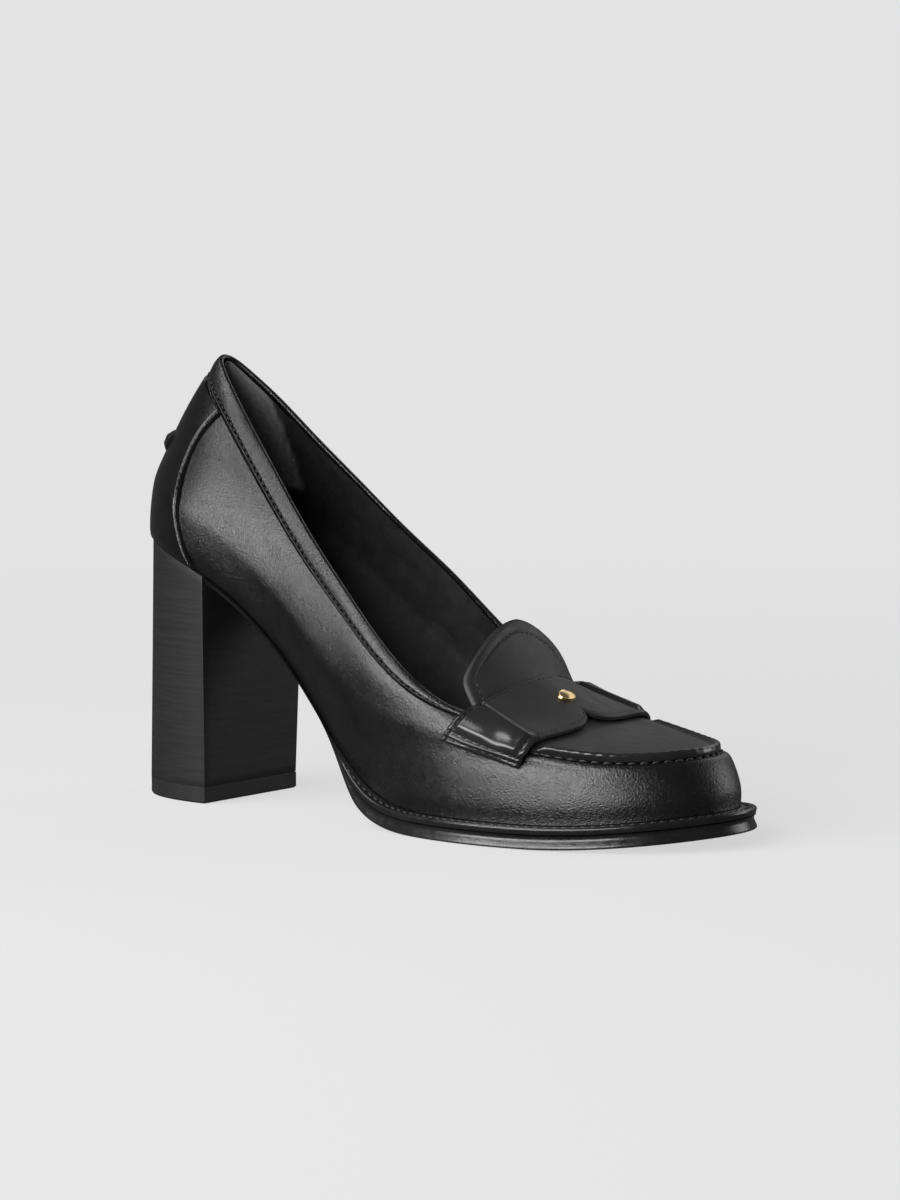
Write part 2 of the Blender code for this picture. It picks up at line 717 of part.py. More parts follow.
def girth_station(row, girth):
    """The outer station at a distance round from the heel's back, along one row."""
    stations = np.linspace(0.0, 6.0, 241)
    line = skin(stations, row)
    run = np.concatenate([[0.0], np.cumsum(np.linalg.norm(np.diff(line, axis=0), axis=1))])
    return float(np.interp(girth, run, stations))


def lay_on_back(name, rows, halves, lift, thickness, finish, collection):
    """A strip across the heel's back, between rows, each with its own half girth."""
    across = np.linspace(-1.0, 1.0, 19)
    under, over = [], []
    for row, half in zip(rows, halves):
        stations = np.array([math.copysign(girth_station(row, abs(a) * half), -a) for a in across])
        stations = np.where(stations < 0, ROUND + stations, stations)
        under.append(on_skin(stations, row, lift))
        over.append(on_skin(stations, row, lift + thickness))
    return plate(name, np.array(under), np.array(over), finish, collection)


def make_back_strip(finish, collection):
    """The panel over the heel's back, from the feather line to the turned edge."""
    top = row_below_top(0.0, COLLAR_BAND + 0.0012)
    shares = np.linspace(0.0, 1.0, 14)
    rows = [0.12 + (top - 0.12) * share for share in shares]
    halves = [STRIP_HALF * float(through(STRIP_SHAPE, share)) for share in shares]
    return lay_on_back(
        "back_strip", rows, halves, PIECE_GAP, BACK_STRIP_THICKNESS, finish, collection
    )


def make_heel_tab(finish, collection):
    """The small bar sewn across the back strip."""
    height = wall_height(0.0)
    middle_row = row_below_top(0.0, height * (1 - TAB_UP))
    half_rows = TAB_HEIGHT / 2 / height * TOP
    shares = (-1.0, -0.5, 0.5, 1.0)
    rows = [middle_row + half_rows * share for share in shares]
    halves = [TAB_HALF * 0.96, TAB_HALF, TAB_HALF, TAB_HALF * 0.96]
    lift = 2 * PIECE_GAP + BACK_STRIP_THICKNESS
    return lay_on_back("heel_tab", rows, halves, lift, TAB_THICKNESS, finish, collection)


def make_stud(finish, collection):
    """A plain oval stud in the middle of the strap."""
    start = STRAP_REAR + (strap_front(0.0) - STRAP_REAR) * 0.58
    lift = float(strap_lift(0.0, start)) + STRAP_THICKNESS + PIECE_GAP
    centre = on_slice(start, 0.0, lift)
    ahead = unit(on_slice(start + 0.001, 0.0, lift) - on_slice(start - 0.001, 0.0, lift))
    side = np.array((0.0, 1.0, 0.0))
    up = unit(np.cross(ahead, side))
    up = up if up[2] > 0 else -up
    rings = []
    for size, height in ((0.92, 0.0), (1.0, 0.25), (0.94, 0.6), (0.74, 0.88), (0.36, 1.0)):
        ring = []
        for k in range(20):
            angle = 2 * math.pi * k / 20
            across = side * math.cos(angle) * STUD_LENGTH / 2 + ahead * math.sin(angle) * STUD_WIDTH / 2
            ring.append(centre + across * size + up * (STUD_HEIGHT * height + 0.0003))
        rings.append(ring)
    return loft("stud", rings, finish, collection)


def build():
    clear_scene()
    shoe = bpy.data.collections.new("loafer_pump")
    bpy.context.scene.collection.children.link(shoe)
    leather = material("black leather", LEATHER_BLACK, 0.32)
    rubber = material("sole", SOLE_BLACK, 0.45)
    stack = material("stacked heel", STACK_BLACK, 0.5)
    lining = material("lining", LINING_BLACK, 0.8)
    gold = material("gold", GOLD, 0.25, metallic=1.0)
    make_upper(leather, shoe)
    make_back_strip(leather, shoe)
    make_heel_tab(leather, shoe)
    make_apron(leather, shoe)
    make_saddle_strap(leather, shoe)
    make_tongue(leather, shoe)
    make_stud(gold, shoe)
    make_insole(lining, shoe)
    make_welt(rubber, shoe)
    make_outsole(rubber, shoe)
    make_heel(stack, shoe)
    make_top_piece(rubber, shoe)


build()
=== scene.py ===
"""The looks of the loafer pump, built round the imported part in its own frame.

Metres, +Z up, the toe along +X and the inner side of the foot +Y. The leather follows the
same last as the part, a ring of sections from the heel's back round the toe and back again.
Points are worked out in the last's own frame and moved to the part's when a piece is made.
"""

import math

import bpy
import numpy as np
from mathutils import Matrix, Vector


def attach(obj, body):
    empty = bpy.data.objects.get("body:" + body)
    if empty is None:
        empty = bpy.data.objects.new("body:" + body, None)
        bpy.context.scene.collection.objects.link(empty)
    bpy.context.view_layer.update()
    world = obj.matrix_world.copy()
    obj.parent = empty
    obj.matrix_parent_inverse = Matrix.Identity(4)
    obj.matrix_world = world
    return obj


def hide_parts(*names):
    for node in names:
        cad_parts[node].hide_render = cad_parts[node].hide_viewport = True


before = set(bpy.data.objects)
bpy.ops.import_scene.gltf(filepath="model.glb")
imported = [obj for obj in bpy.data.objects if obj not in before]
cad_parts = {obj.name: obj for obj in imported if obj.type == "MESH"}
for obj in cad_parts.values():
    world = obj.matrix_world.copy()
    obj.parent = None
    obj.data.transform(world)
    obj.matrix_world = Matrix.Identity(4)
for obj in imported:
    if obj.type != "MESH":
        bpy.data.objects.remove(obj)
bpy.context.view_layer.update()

# Last, the same as the part's
LENGTH = 0.2260
LAST_LENGTH = 0.2240
BALL_WIDTH = 0.079
HEEL_HEIGHT = 0.0865
FORE_HEIGHT = 0.0069
QUARTER_HEIGHT = 0.065
TOE_SWING = 0.0058
SWING_START = 0.05
INSTEP_LEAN = 0.0018
QUARTER_SWELL = 0.0025  # how far the quarters belly out, low on the wall
SWELL_HEIGHTS = (0.0, 7.8, 15.3, 18.7, 26.0, 37.0, 51.0)  # of the rows, in millimetres
LEAN_SHARES = (0.0, 0.3, 1.0, 1.0)  # foot, knee, crown, edge

# Leather
WALL = 0.0018
OUTER_LEATHER = 0.0011
COLLAR_BAND = 0.0072
GAP = 0.0003
APRON_THICKNESS = 0.0012
STRAP_THICKNESS = 0.0015
TONGUE_THICKNESS = 0.0014
BACK_STRIP_THICKNESS = 0.0009
TAB_THICKNESS = 0.0013

# Sole and heel
OUTSOLE_THICKNESS = 0.0044
SHANK_THICKNESS = 0.0026
WELT_THICKNESS = 0.0020
WELT_WIDTH = 0.0040
WELT_INSIDE = 0.0012
WELT_START = 0.405
INSOLE_THICKNESS = 0.0016
EDGE_HOLLOW = 0.0008
SOLE_BEVEL = 0.0007
SHANK_TUCK = 0.0017  # how far the shank's edge slants in towards its lower side
BREAST_TOP = 0.0385
BREAST_BOTTOM = 0.0370
HEEL_FOOT_HALF = 0.0232
HEEL_FOOT_BACK = 0.0006
TOP_PIECE_THICKNESS = 0.0055

# Strap, apron and tongue, as slanted slices through the skin
SLICE_SLOPE = 0.75
STRAP_REAR = 0.5268 * LAST_LENGTH
STRAP_WIDTH = 0.0318
STRAP_NOTCH = 0.0075
STRAP_REACH = 0.0428
STRAP_REACH_FRONT = 0.0402
STRAP_SKEW = 0.0038
FOLD_REAR = 0.0255  # from the ridge to where the strap's padded ends begin
FOLD_FRONT = 0.0295
APRON_END = STRAP_REAR + 0.0110
TONGUE_ROOT = STRAP_REAR - 0.0022
TONGUE_RISE = 0.0217
TONGUE_HALF = 0.0280
TONGUE_TIP_SWING = 0.0022
TONGUE_LEAN = (54.0, 68.0)
TONGUE_SHOULDER = 0.32
TONGUE_LINE = 0.0041  # its stitched line, in from the edge
ON_SURFACE = 0.81  # length along the leather for each unit between slices

# Small pieces
STRIP_HALF = 0.0480
TAB_HALF = 0.0135
TAB_HEIGHT = 0.0050
TAB_UP = 0.50
STUD_LENGTH = 0.0080
STUD_WIDTH = 0.0050
STUD_HEIGHT = 0.0016

# Seams, by stations round the shoe where no length is given
COLLAR_LINE = 0.0059  # the collar's stitched line, down from the topline
COLLAR_START = 3.75  # from the toe to the collar's first stitch
SIDE_SEAM = 21.0  # foot of the seam on the inner side
SIDE_SEAM_LEAN = 0.62  # how far it leans on its way up
STRIP_LINE = 0.00145  # the back strip's stitched line, in from its edge
STRAP_LINES = (0.0016, 0.00165)  # in from the strap's rear and front edges
STRAP_END_LINES = (0.0015, 0.0031)  # in from its ends
GRIP_REACH = 3.3  # of the lining's soft grip, either side of the heel's back
GRIP_SEAM = 3.4
GRIP_LINE = 3.22  # its stitched line
GRIP_DROP = 46.0  # millimetres down from the topline

# Stitches
COLLAR_PITCH = 0.0026
MOC_PITCH = 0.0037
FINE_PITCH = 0.0024
WELT_PITCH = 0.0030

PROFILE = (
    # along, rise
    (0.000, 1.000),
    (0.023, 0.990),
    (0.062, 0.971),
    (0.121, 0.911),
    (0.188, 0.833),
    (0.259, 0.698),
    (0.339, 0.485),
    (0.424, 0.162),
    (0.464, 0.067),
    (0.513, 0.004),
    (0.562, 0.000),
    (0.714, 0.000),
    (0.812, 0.000),
    (0.902, 0.021),
    (0.969, 0.044),
    (1.000, 0.055),
)

# Sections from the heel's back to the toe: the feather line, the knee, the crown and the topline
SECTIONS = (
    # along, outer half, inner half; along, half, up; along, half, up; along, half, up
    (0.011, 0.00, 0.00, 0.020, 0.00, 0.333, 0.069, 0.00, 0.704, 0.118, 0.00, 0.999),
    (0.023, 0.30, 0.30, 0.034, 0.28, 0.333, 0.079, 0.19, 0.704, 0.124, 0.10, 0.988),
    (0.062, 0.53, 0.53, 0.072, 0.49, 0.322, 0.114, 0.35, 0.680, 0.148, 0.18, 0.939),
    (0.121, 0.64, 0.64, 0.132, 0.63, 0.308, 0.167, 0.48, 0.632, 0.188, 0.28, 0.867),
    (0.188, 0.65, 0.64, 0.199, 0.65, 0.287, 0.225, 0.54, 0.576, 0.241, 0.37, 0.791),
    (0.259, 0.62, 0.56, 0.270, 0.65, 0.286, 0.290, 0.60, 0.545, 0.304, 0.50, 0.760),
    (0.339, 0.60, 0.51, 0.348, 0.69, 0.323, 0.362, 0.68, 0.563, 0.371, 0.62, 0.796),
    (0.424, 0.65, 0.55, 0.433, 0.79, 0.426, 0.435, 0.78, 0.664, 0.438, 0.73, 0.894),
    (0.513, 0.78, 0.73, 0.522, 0.91, 0.425, 0.513, 0.89, 0.651, 0.502, 0.79, 0.821),
    (0.612, 0.95, 0.95, 0.616, 0.98, 0.400, 0.589, 0.91, 0.537, 0.571, 0.82, 0.643),
    (0.714, 1.01, 0.99, 0.714, 0.93, 0.368, 0.679, 0.85, 0.440, 0.634, 0.81, 0.503),
    (0.812, 0.94, 0.90, 0.808, 0.84, 0.320, 0.741, 0.72, 0.396, 0.667, 0.67, 0.474),
    (0.902, 0.76, 0.72, 0.891, 0.67, 0.266, 0.777, 0.49, 0.348, 0.675, 0.44, 0.528),
    (0.969, 0.44, 0.42, 0.949, 0.37, 0.258, 0.792, 0.23, 0.328, 0.676, 0.21, 0.570),
    (1.000, 0.00, 0.00, 0.971, 0.00, 0.253, 0.797, 0.00, 0.320, 0.676, 0.00, 0.585),
)
TOE = len(SECTIONS) - 1
ROUND = 2 * TOE
TOP = 6
SEAM_ROW = 3.05

# Rows between the levels (0 feather, 1 knee, 2 crown, 3 topline): from, to, across, up
ROW_MIX = (
    (0, 1, 0.00, 0.00),
    (0, 1, 0.16, 0.42),
    (0, 1, 0.62, 0.82),
    (1, 2, 0.00, 0.00),
    (1, 2, 0.40, 0.40),
    (1, 2, 1.00, 1.00),
    (2, 3, 1.00, 1.00),
)
# Half widths of the back strip from its foot to the collar, and how far the strap's front edge
# is cut back from its middle to its ends, both as shares
STRIP_SHAPE = ((0.0, 1.0), (0.16, 0.93), (0.34, 0.87), (0.55, 0.81), (0.75, 0.67), (0.9, 0.565), (1.0, 0.52))
NOTCH = ((0.0, 1.0), (0.04, 0.62), (0.1, 0.3), (0.2, 0.06), (0.32, 0.0), (0.6, 0.04), (1.0, 0.1))

# Creases and soft hollows of the wall, as (station, row) at both ends, with width and depth in
# metres. A depth above zero is a ridge.
CREASES = (
    ((6.2, 1.2), (9.4, 2.3), 0.0075, -0.0006),
    ((3.2, 3.4), (6.0, 2.6), 0.0090, -0.0005),
    ((8.6, 4.6), (9.6, 2.9), 0.0040, -0.0003),
    ((9.3, 2.2), (10.3, 2.5), 0.0022, -0.00022),
    ((9.6, 1.8), (10.8, 2.2), 0.0020, -0.00018),
    ((18.2, 2.4), (19.4, 1.9), 0.0026, -0.00028),
    ((17.6, 2.1), (18.8, 1.5), 0.0022, -0.00022),
    ((20.6, 3.6), (23.8, 3.9), 0.0080, -0.0006),
    ((22.2, 4.9), (23.6, 4.2), 0.0024, -0.00025),
    ((22.8, 5.2), (24.1, 4.4), 0.0022, -0.00022),
    ((23.6, 5.1), (24.8, 4.3), 0.0022, -0.00020),
    ((4.4, 5.0), (5.4, 4.3), 0.0026, -0.00018),
    ((1.5, 2.4), (3.4, 1.6), 0.0060, 0.0004),
    ((24.6, 1.6), (26.4, 2.4), 0.0060, 0.0004),
)


def blend(low, high, x):
    share = np.clip((np.asarray(x, float) - low) / (high - low), 0.0, 1.0)
    return share * share * (3.0 - 2.0 * share)


def bump(x, centre, width):
    """A soft ridge of height 1."""
    return np.exp(-(((np.asarray(x, float) - centre) / width) ** 2))


def through(table, x):
    knots, values = np.array(table, float).T
    slopes = np.gradient(values, knots)
    x = np.clip(np.asarray(x, float), knots[0], knots[-1])
    i = np.clip(np.searchsorted(knots, x, side="right") - 1, 0, len(knots) - 2)
    step = knots[i + 1] - knots[i]
    u = (x - knots[i]) / step
    return (
        values[i] * (2 * u**3 - 3 * u**2 + 1)
        + slopes[i] * step * (u**3 - 2 * u**2 + u)
        + values[i + 1] * (3 * u**2 - 2 * u**3)
        + slopes[i + 1] * step * (u**3 - u**2)
    )


def footbed(along):
    rise = through(PROFILE, np.asarray(along, float) / LAST_LENGTH)
    return FORE_HEIGHT + (HEEL_HEIGHT - FORE_HEIGHT) * rise


def middle(along):
    share = np.maximum(0.0, (np.asarray(along, float) - SWING_START) / (LAST_LENGTH - SWING_START))
    return TOE_SWING * share**1.5


def control_net():
    columns = []
    for station in range(ROUND):
        foot_x, outer, inner, *levels = SECTIONS[station if station <= TOE else ROUND - station]
        side = -1.0 if station <= TOE else 1.0
        rows = [(foot_x, outer if station <= TOE else inner, 0.0)]
        rows += [tuple(levels[i : i + 3]) for i in (0, 3, 6)]
        place = []
        for lean, (along, half, up) in zip(LEAN_SHARES, rows):
            x = along * LAST_LENGTH
            held = blend(0.42, 0.58, along) * (1.0 - blend(0.74, 0.92, along))
            y = float(middle(x) - INSTEP_LEAN * lean * held) + side * half * BALL_WIDTH / 2
            place.append(np.array((x, y, float(footbed(x)) + up * QUARTER_HEIGHT)))
        columns.append(
            [place[a] + (place[b] - place[a]) * np.array((out, out, up)) for a, b, out, up in ROW_MIX]
        )
    net = np.array(columns)
    return np.concatenate([2 * net[:, :1] - net[:, 1:2], net, 2 * net[:, -1:] - net[:, -2:-1]], axis=1)


NET = control_net()


def cubic_weights(u):
    return np.stack(
        [(1 - u) ** 3, 3 * u**3 - 6 * u**2 + 4, -3 * u**3 + 3 * u**2 + 3 * u + 1, u**3], axis=-1
    ) / 6.0


def skin(station, row):
    """The upper's outer skin at a station round the shoe and a row up its wall."""
    station, row = np.broadcast_arrays(np.asarray(station, float), np.asarray(row, float))
    row = np.clip(row, 0.0, TOP - 1e-9)
    i = np.floor(station).astype(int)
    j = np.floor(row).astype(int)
    columns = (i[..., None] + np.arange(-1, 3)) % ROUND
    rows = j[..., None] + np.arange(0, 4)
    picked = NET[columns[..., :, None], rows[..., None, :]]
    point = np.einsum("...a,...b,...abk->...k", cubic_weights(station - i), cubic_weights(row - j), picked)
    station = station % ROUND
    from_back = np.minimum(station, ROUND - station)
    up = np.interp(row, np.arange(7), SWELL_HEIGHTS) / SWELL_HEIGHTS[-1]
    on_quarter = blend(0.6, 3.4, from_back) * (1.0 - blend(6.0, 9.0, from_back))
    swell = QUARTER_SWELL * np.sin(math.pi * up**0.75) * on_quarter
    point[..., 1] += np.where(station < TOE, -swell, swell)
    return point


def unit(vectors):
    return vectors / np.maximum(np.linalg.norm(vectors, axis=-1, keepdims=True), 1e-12)


def skin_normal(station, row):
    step = 0.01
    row = np.asarray(row, float)
    along = skin(np.add(station, step), row) - skin(np.subtract(station, step), row)
    upward = skin(station, row + step) - skin(station, row - step)
    return unit(np.cross(along, upward))


def on_skin(station, row, out=0.0):
    return skin(station, row) + skin_normal(station, row) * np.asarray(out, float)[..., None]


def feather(station):
    """The feather line and its outward normal in plan."""
    step = 0.02
    ahead = skin(np.add(station, step), 0.0) - skin(np.subtract(station, step), 0.0)
    normal = unit(np.stack([ahead[..., 1], -ahead[..., 0], np.zeros_like(ahead[..., 0])], axis=-1))
    return skin(station, 0.0), normal


def run_of(points):
    """Length along a line of points, up to each of them."""
    steps = np.linalg.norm(np.diff(points, axis=-2), axis=-1)
    return np.concatenate([np.zeros_like(steps[..., :1]), np.cumsum(steps, axis=-1)], axis=-1)


def spaced(first, last, row, step):
    """Stations at even distances along one row."""
    fine = np.linspace(first, last, 1601)
    run = run_of(skin(fine, row))
    return np.interp(np.linspace(0.0, run[-1], max(2, round(run[-1] / step)) + 1), run, fine)


def station_at(along):
    stations = np.linspace(0.0, TOE, 561)
    return float(np.interp(along, skin(stations, 0.0)[:, 0], stations))


def slice_line(start, steps=64):
    """Where a slanted slice cuts the outer half of the skin, from the ridge down, with its length."""
    angle = np.linspace(math.pi / 2, 0.0, steps)
    near = np.zeros(steps)
    far = np.minimum(7.0 / np.maximum(np.cos(angle), 1e-6), TOP / np.maximum(np.sin(angle), 1e-6))
    for _ in range(34):
        mid = (near + far) / 2
        spot = skin(TOE - mid * np.cos(angle), mid * np.sin(angle))
        ahead = spot[:, 0] - SLICE_SLOPE * spot[:, 2] > start
        near = np.where(ahead, mid, near)
        far = np.where(ahead, far, mid)
    station, row = TOE - near * np.cos(angle), near * np.sin(angle)
    return station, row, run_of(skin(station, row))


SLICES = np.linspace(0.1085, 0.1560, 96)
GIRTHS = np.linspace(0.0, 0.056, 225)
slice_stations, slice_rows, slice_seams = [], [], []
for slice_start in SLICES:
    at_station, at_row, at_girth = slice_line(slice_start)
    slice_stations.append(np.interp(GIRTHS, at_girth, at_station))
    slice_rows.append(np.interp(GIRTHS, at_girth, at_row))
    slice_seams.append(np.interp(-SEAM_ROW, -at_row, at_girth))
SLICE_STATIONS = np.array(slice_stations)
SLICE_ROWS = np.array(slice_rows)
SLICE_SEAMS = np.array(slice_seams)


def lookup(table, row, column):
    """A table between its entries."""
    i = np.clip(np.floor(row).astype(int), 0, table.shape[0] - 2)
    j = np.clip(np.floor(column).astype(int), 0, table.shape[1] - 2)
    u = np.clip(row - i, 0.0, 1.0)
    v = np.clip(column - j, 0.0, 1.0)
    if table.ndim == 3:
        u, v = u[..., None], v[..., None]
    low = table[i, j] * (1 - v) + table[i, j + 1] * v
    high = table[i + 1, j] * (1 - v) + table[i + 1, j + 1] * v
    return low * (1 - u) + high * u


def on_slice(start, girth, out):
    """Points on slices at signed girths from the ridge, outer side negative."""
    start, girth = np.broadcast_arrays(np.asarray(start, float), np.asarray(girth, float))
    at = (start - SLICES[0]) / (SLICES[1] - SLICES[0])
    across = np.abs(girth) / GIRTHS[1]
    station = lookup(SLICE_STATIONS, at, across)
    return on_skin(np.where(girth <= 0, station, ROUND - station), lookup(SLICE_ROWS, at, across), out)


def seam_girth(start):
    return np.interp(start, SLICES, SLICE_SEAMS)


def find_centre():
    edge, normal = feather(np.linspace(0.0, ROUND, 337))
    widest = (edge + normal * WELT_WIDTH)[:, 1]
    return np.array((LENGTH / 2, (widest.min() + widest.max()) / 2, 0.0))


CENTRE = find_centre()


# Making pieces


def only(piece):
    bpy.ops.object.select_all(action="DESELECT")
    piece.select_set(True)
    bpy.context.view_layer.objects.active = piece


def corners_of(piece):
    flat = np.empty(len(piece.data.vertices) * 3)
    piece.data.vertices.foreach_get("co", flat)
    return flat.reshape(-1, 3)


def move_corners(piece, points):
    piece.data.vertices.foreach_set("co", np.ascontiguousarray(points, float).ravel())
    piece.data.update()


def edit(piece, *steps):
    """Runs edit-mode operators on the whole mesh."""
    only(piece)
    bpy.ops.object.mode_set(mode="EDIT")
    bpy.ops.mesh.select_all(action="SELECT")
    for step in steps:
        step()
    bpy.ops.object.mode_set(mode="OBJECT")


def outside_out():
    bpy.ops.mesh.normals_make_consistent(inside=False)


def merge_doubles():
    bpy.ops.mesh.remove_doubles(threshold=1e-6)


def close_ends():
    bpy.ops.mesh.select_all(action="DESELECT")
    bpy.ops.mesh.select_non_manifold()
    bpy.ops.mesh.fill_holes(sides=0)
    bpy.ops.mesh.select_all(action="SELECT")


def modify(piece, kind, **settings):
    """Adds a modifier and applies it."""
    modifier = piece.modifiers.new(kind.lower(), kind)
    for key, value in settings.items():
        setattr(modifier, key, value)
    only(piece)
    bpy.ops.object.modifier_apply(modifier=modifier.name)


def grid_of(name, points):
    """A grid with one corner for each point of a table of rows and columns."""
    rows, columns = points.shape[:2]
    bpy.ops.object.select_all(action="DESELECT")
    bpy.ops.mesh.primitive_grid_add(x_subdivisions=columns - 1, y_subdivisions=rows - 1, size=1.0)
    piece = bpy.context.object
    piece.name = name
    flat = corners_of(piece)
    column = np.rint((flat[:, 0] + 0.5) * (columns - 1)).astype(int)
    row = np.rint((flat[:, 1] + 0.5) * (rows - 1)).astype(int)
    move_corners(piece, points[row, column] - CENTRE)
    return piece


def band_of(name, points):
    """A closed band: rings along the first axis, each ring closed, the last ring joined to the first."""
    rings, sides = points.shape[:2]
    bpy.ops.object.select_all(action="DESELECT")
    bpy.ops.mesh.primitive_torus_add(
        major_segments=rings, minor_segments=sides, major_radius=1.0, minor_radius=0.25
    )
    piece = bpy.context.object
    piece.name = name
    flat = corners_of(piece)
    turn = np.arctan2(flat[:, 1], flat[:, 0]) / (2 * math.pi)
    tilt = np.arctan2(flat[:, 2], np.hypot(flat[:, 0], flat[:, 1]) - 1.0) / (2 * math.pi)
    ring = np.rint(turn * rings).astype(int) % rings
    side = np.rint(tilt * sides).astype(int) % sides
    move_corners(piece, points[ring, side] - CENTRE)
    edit(piece, outside_out)
    return piece


def tube_of(name, rings):
    """A closed body through rings of equal count, its two ends filled."""
    closed = np.concatenate([rings, rings[:, :1]], axis=1)
    piece = grid_of(name, closed)
    edit(piece, merge_doubles, close_ends, outside_out)
    return piece


def plate_of(name, over, under):
    """A piece of leather between its face and its back, the face's corners first."""
    piece = grid_of(name, over)
    modify(piece, "SOLIDIFY", thickness=0.0005, offset=-1.0)
    both = corners_of(piece)
    back = under.reshape(-1, 3) - CENTRE
    both[len(back) :] = back
    move_corners(piece, both)
    edit(piece, outside_out)
    return piece


def dress(piece, angle, finish, slot, *nodes):
    """Shades a piece smooth below an angle, gives it its finish, hangs it on the root and hides the part's
    nodes that it stands for.
    """
    only(piece)
    bpy.ops.object.shade_smooth_by_angle(angle=math.radians(angle))
    piece.data.materials.clear()
    piece.data.materials.append(finish)
    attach(piece, "root")
    if nodes:
        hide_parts(*nodes)


def polish_and_painted_sheen(piece, shares):
    """How polished the corners are, from 0 to 1, one by one or all alike; on the lining, where its painted
    sheen goes.
    """
    mark = piece.data.attributes.new("polish_and_painted_sheen", "FLOAT", "POINT")
    every = np.broadcast_to(np.asarray(shares, np.float32), len(piece.data.vertices))
    mark.data.foreach_set("value", np.ascontiguousarray(every))


def place_of(piece):
    """Corners in the last's own frame."""
    return corners_of(piece) + CENTRE


# Stitches


def stitch_body(length, thickness):
    """One stitch lying along X, its ends turned down into the leather."""
    bpy.ops.object.select_all(action="DESELECT")
    bpy.ops.mesh.primitive_uv_sphere_add(segments=8, ring_count=6, radius=0.5)
    one = bpy.context.object
    shape = corners_of(one)[:, [2, 0, 1]] * np.array((length, thickness, thickness))
    shape[:, 2] -= 0.45 * thickness * (2 * shape[:, 0] / length) ** 2
    faces = [tuple(face.vertices) for face in one.data.polygons]
    bpy.data.objects.remove(one)
    return shape, faces


def sew(name, lines, pitch, length, thickness, sink=0.3, slot="upper_leather"):
    """Rows of stitches along lines, each given as points with their normals, as one piece."""
    shape, faces = stitch_body(length, thickness)
    corners, polygons = [], []
    for points, normals in lines:
        run = run_of(points)
        count = int(run[-1] / pitch)
        if count < 1:
            continue
        start = (run[-1] - count * pitch) / 2
        for k in range(count):
            at = start + (k + 0.5) * pitch
            here, before, after = (
                np.array([np.interp(spot, run, points[:, axis]) for axis in range(3)])
                for spot in (at, at - 0.4 * length, at + 0.4 * length)
            )
            up = unit(np.array([np.interp(at, run, normals[:, axis]) for axis in range(3)]))
            ahead = unit(after - before)
            side = unit(np.cross(up, ahead))
            up = np.cross(ahead, side)
            first = len(corners) * len(shape)
            turned = shape[:, :1] * ahead + shape[:, 1:2] * side + shape[:, 2:] * up
            corners.append((before + after) / 4 + here / 2 + up * thickness * (0.5 - sink) + turned)
            polygons += [tuple(first + i for i in face) for face in faces]
    mesh = bpy.data.meshes.new(name)
    mesh.from_pydata((np.concatenate(corners) - CENTRE).tolist(), [], polygons)
    piece = bpy.data.objects.new(name, mesh)
    bpy.context.scene.collection.objects.link(piece)
    edit(piece, outside_out)
    dress(piece, 80.0, THREAD, slot)


def line_on_skin(stations, rows, out):
    stations, rows = np.broadcast_arrays(np.asarray(stations, float), np.asarray(rows, float))
    return on_skin(stations, rows, out), skin_normal(stations, rows)


def line_on_grid(grid, rows, columns):
    """Points and normals along a line in a grid's own row and column counts."""
    normal = unit(np.cross(np.gradient(grid, axis=1), np.gradient(grid, axis=0)))
    rows, columns = np.broadcast_arrays(np.asarray(rows, float), np.asarray(columns, float))
    return lookup(grid, rows, columns), lookup(normal, rows, columns)


# Finishes


def grey(level):
    return (level, level, level)


def new_finish(name):
    made = bpy.data.materials.new(name)
    made.use_nodes = True
    return made, made.node_tree, made.node_tree.nodes["Principled BSDF"]


def noise_of(tree, scale, detail=2.0, stretch=(1.0, 1.0, 1.0), roughness=0.5):
    """Noise on Object coordinates. The scale is in features to the metre."""
    place = tree.nodes.new("ShaderNodeTexCoord")
    mapping = tree.nodes.new("ShaderNodeMapping")
    mapping.inputs["Scale"].default_value = stretch
    texture = tree.nodes.new("ShaderNodeTexNoise")
    texture.inputs["Scale"].default_value = scale
    texture.inputs["Detail"].default_value = detail
    texture.inputs["Roughness"].default_value = roughness
    tree.links.new(place.outputs["Object"], mapping.inputs["Vector"])
    tree.links.new(mapping.outputs["Vector"], texture.inputs["Vector"])
    return texture.outputs["Fac"]


def cells_of(tree, scale):
    place = tree.nodes.new("ShaderNodeTexCoord")
    texture = tree.nodes.new("ShaderNodeTexVoronoi")
    texture.feature = "DISTANCE_TO_EDGE"
    texture.inputs["Scale"].default_value = scale
    tree.links.new(place.outputs["Object"], texture.inputs["Vector"])
    return texture.outputs["Distance"]


def ranged(tree, value, low, high, to_low, to_high):
    node = tree.nodes.new("ShaderNodeMapRange")
    for name, number in (("From Min", low), ("From Max", high), ("To Min", to_low), ("To Max", to_high)):
        node.inputs[name].default_value = number
    tree.links.new(value, node.inputs["Value"])
    return node.outputs["Result"]


def between(tree, value, dark, light, low=0.3, high=0.7):
    ramp = tree.nodes.new("ShaderNodeValToRGB")
    ramp.color_ramp.elements[0].position = low
    ramp.color_ramp.elements[0].color = (*dark, 1.0)
    ramp.color_ramp.elements[1].position = high
    ramp.color_ramp.elements[1].color = (*light, 1.0)
    tree.links.new(value, ramp.inputs["Fac"])
    return ramp.outputs["Color"]


def add_bump(tree, shader, heights):
    """Bumps on top of each other: (value, strength, distance in metres)."""
    normal = None
    for value, strength, distance in heights:
        node = tree.nodes.new("ShaderNodeBump")
        node.inputs["Strength"].default_value = strength
        node.inputs["Distance"].default_value = distance
        tree.links.new(value, node.inputs["Height"])
        if normal is not None:
            tree.links.new(normal, node.inputs["Normal"])
        normal = node.outputs["Normal"]
    tree.links.new(normal, shader.inputs["Normal"])


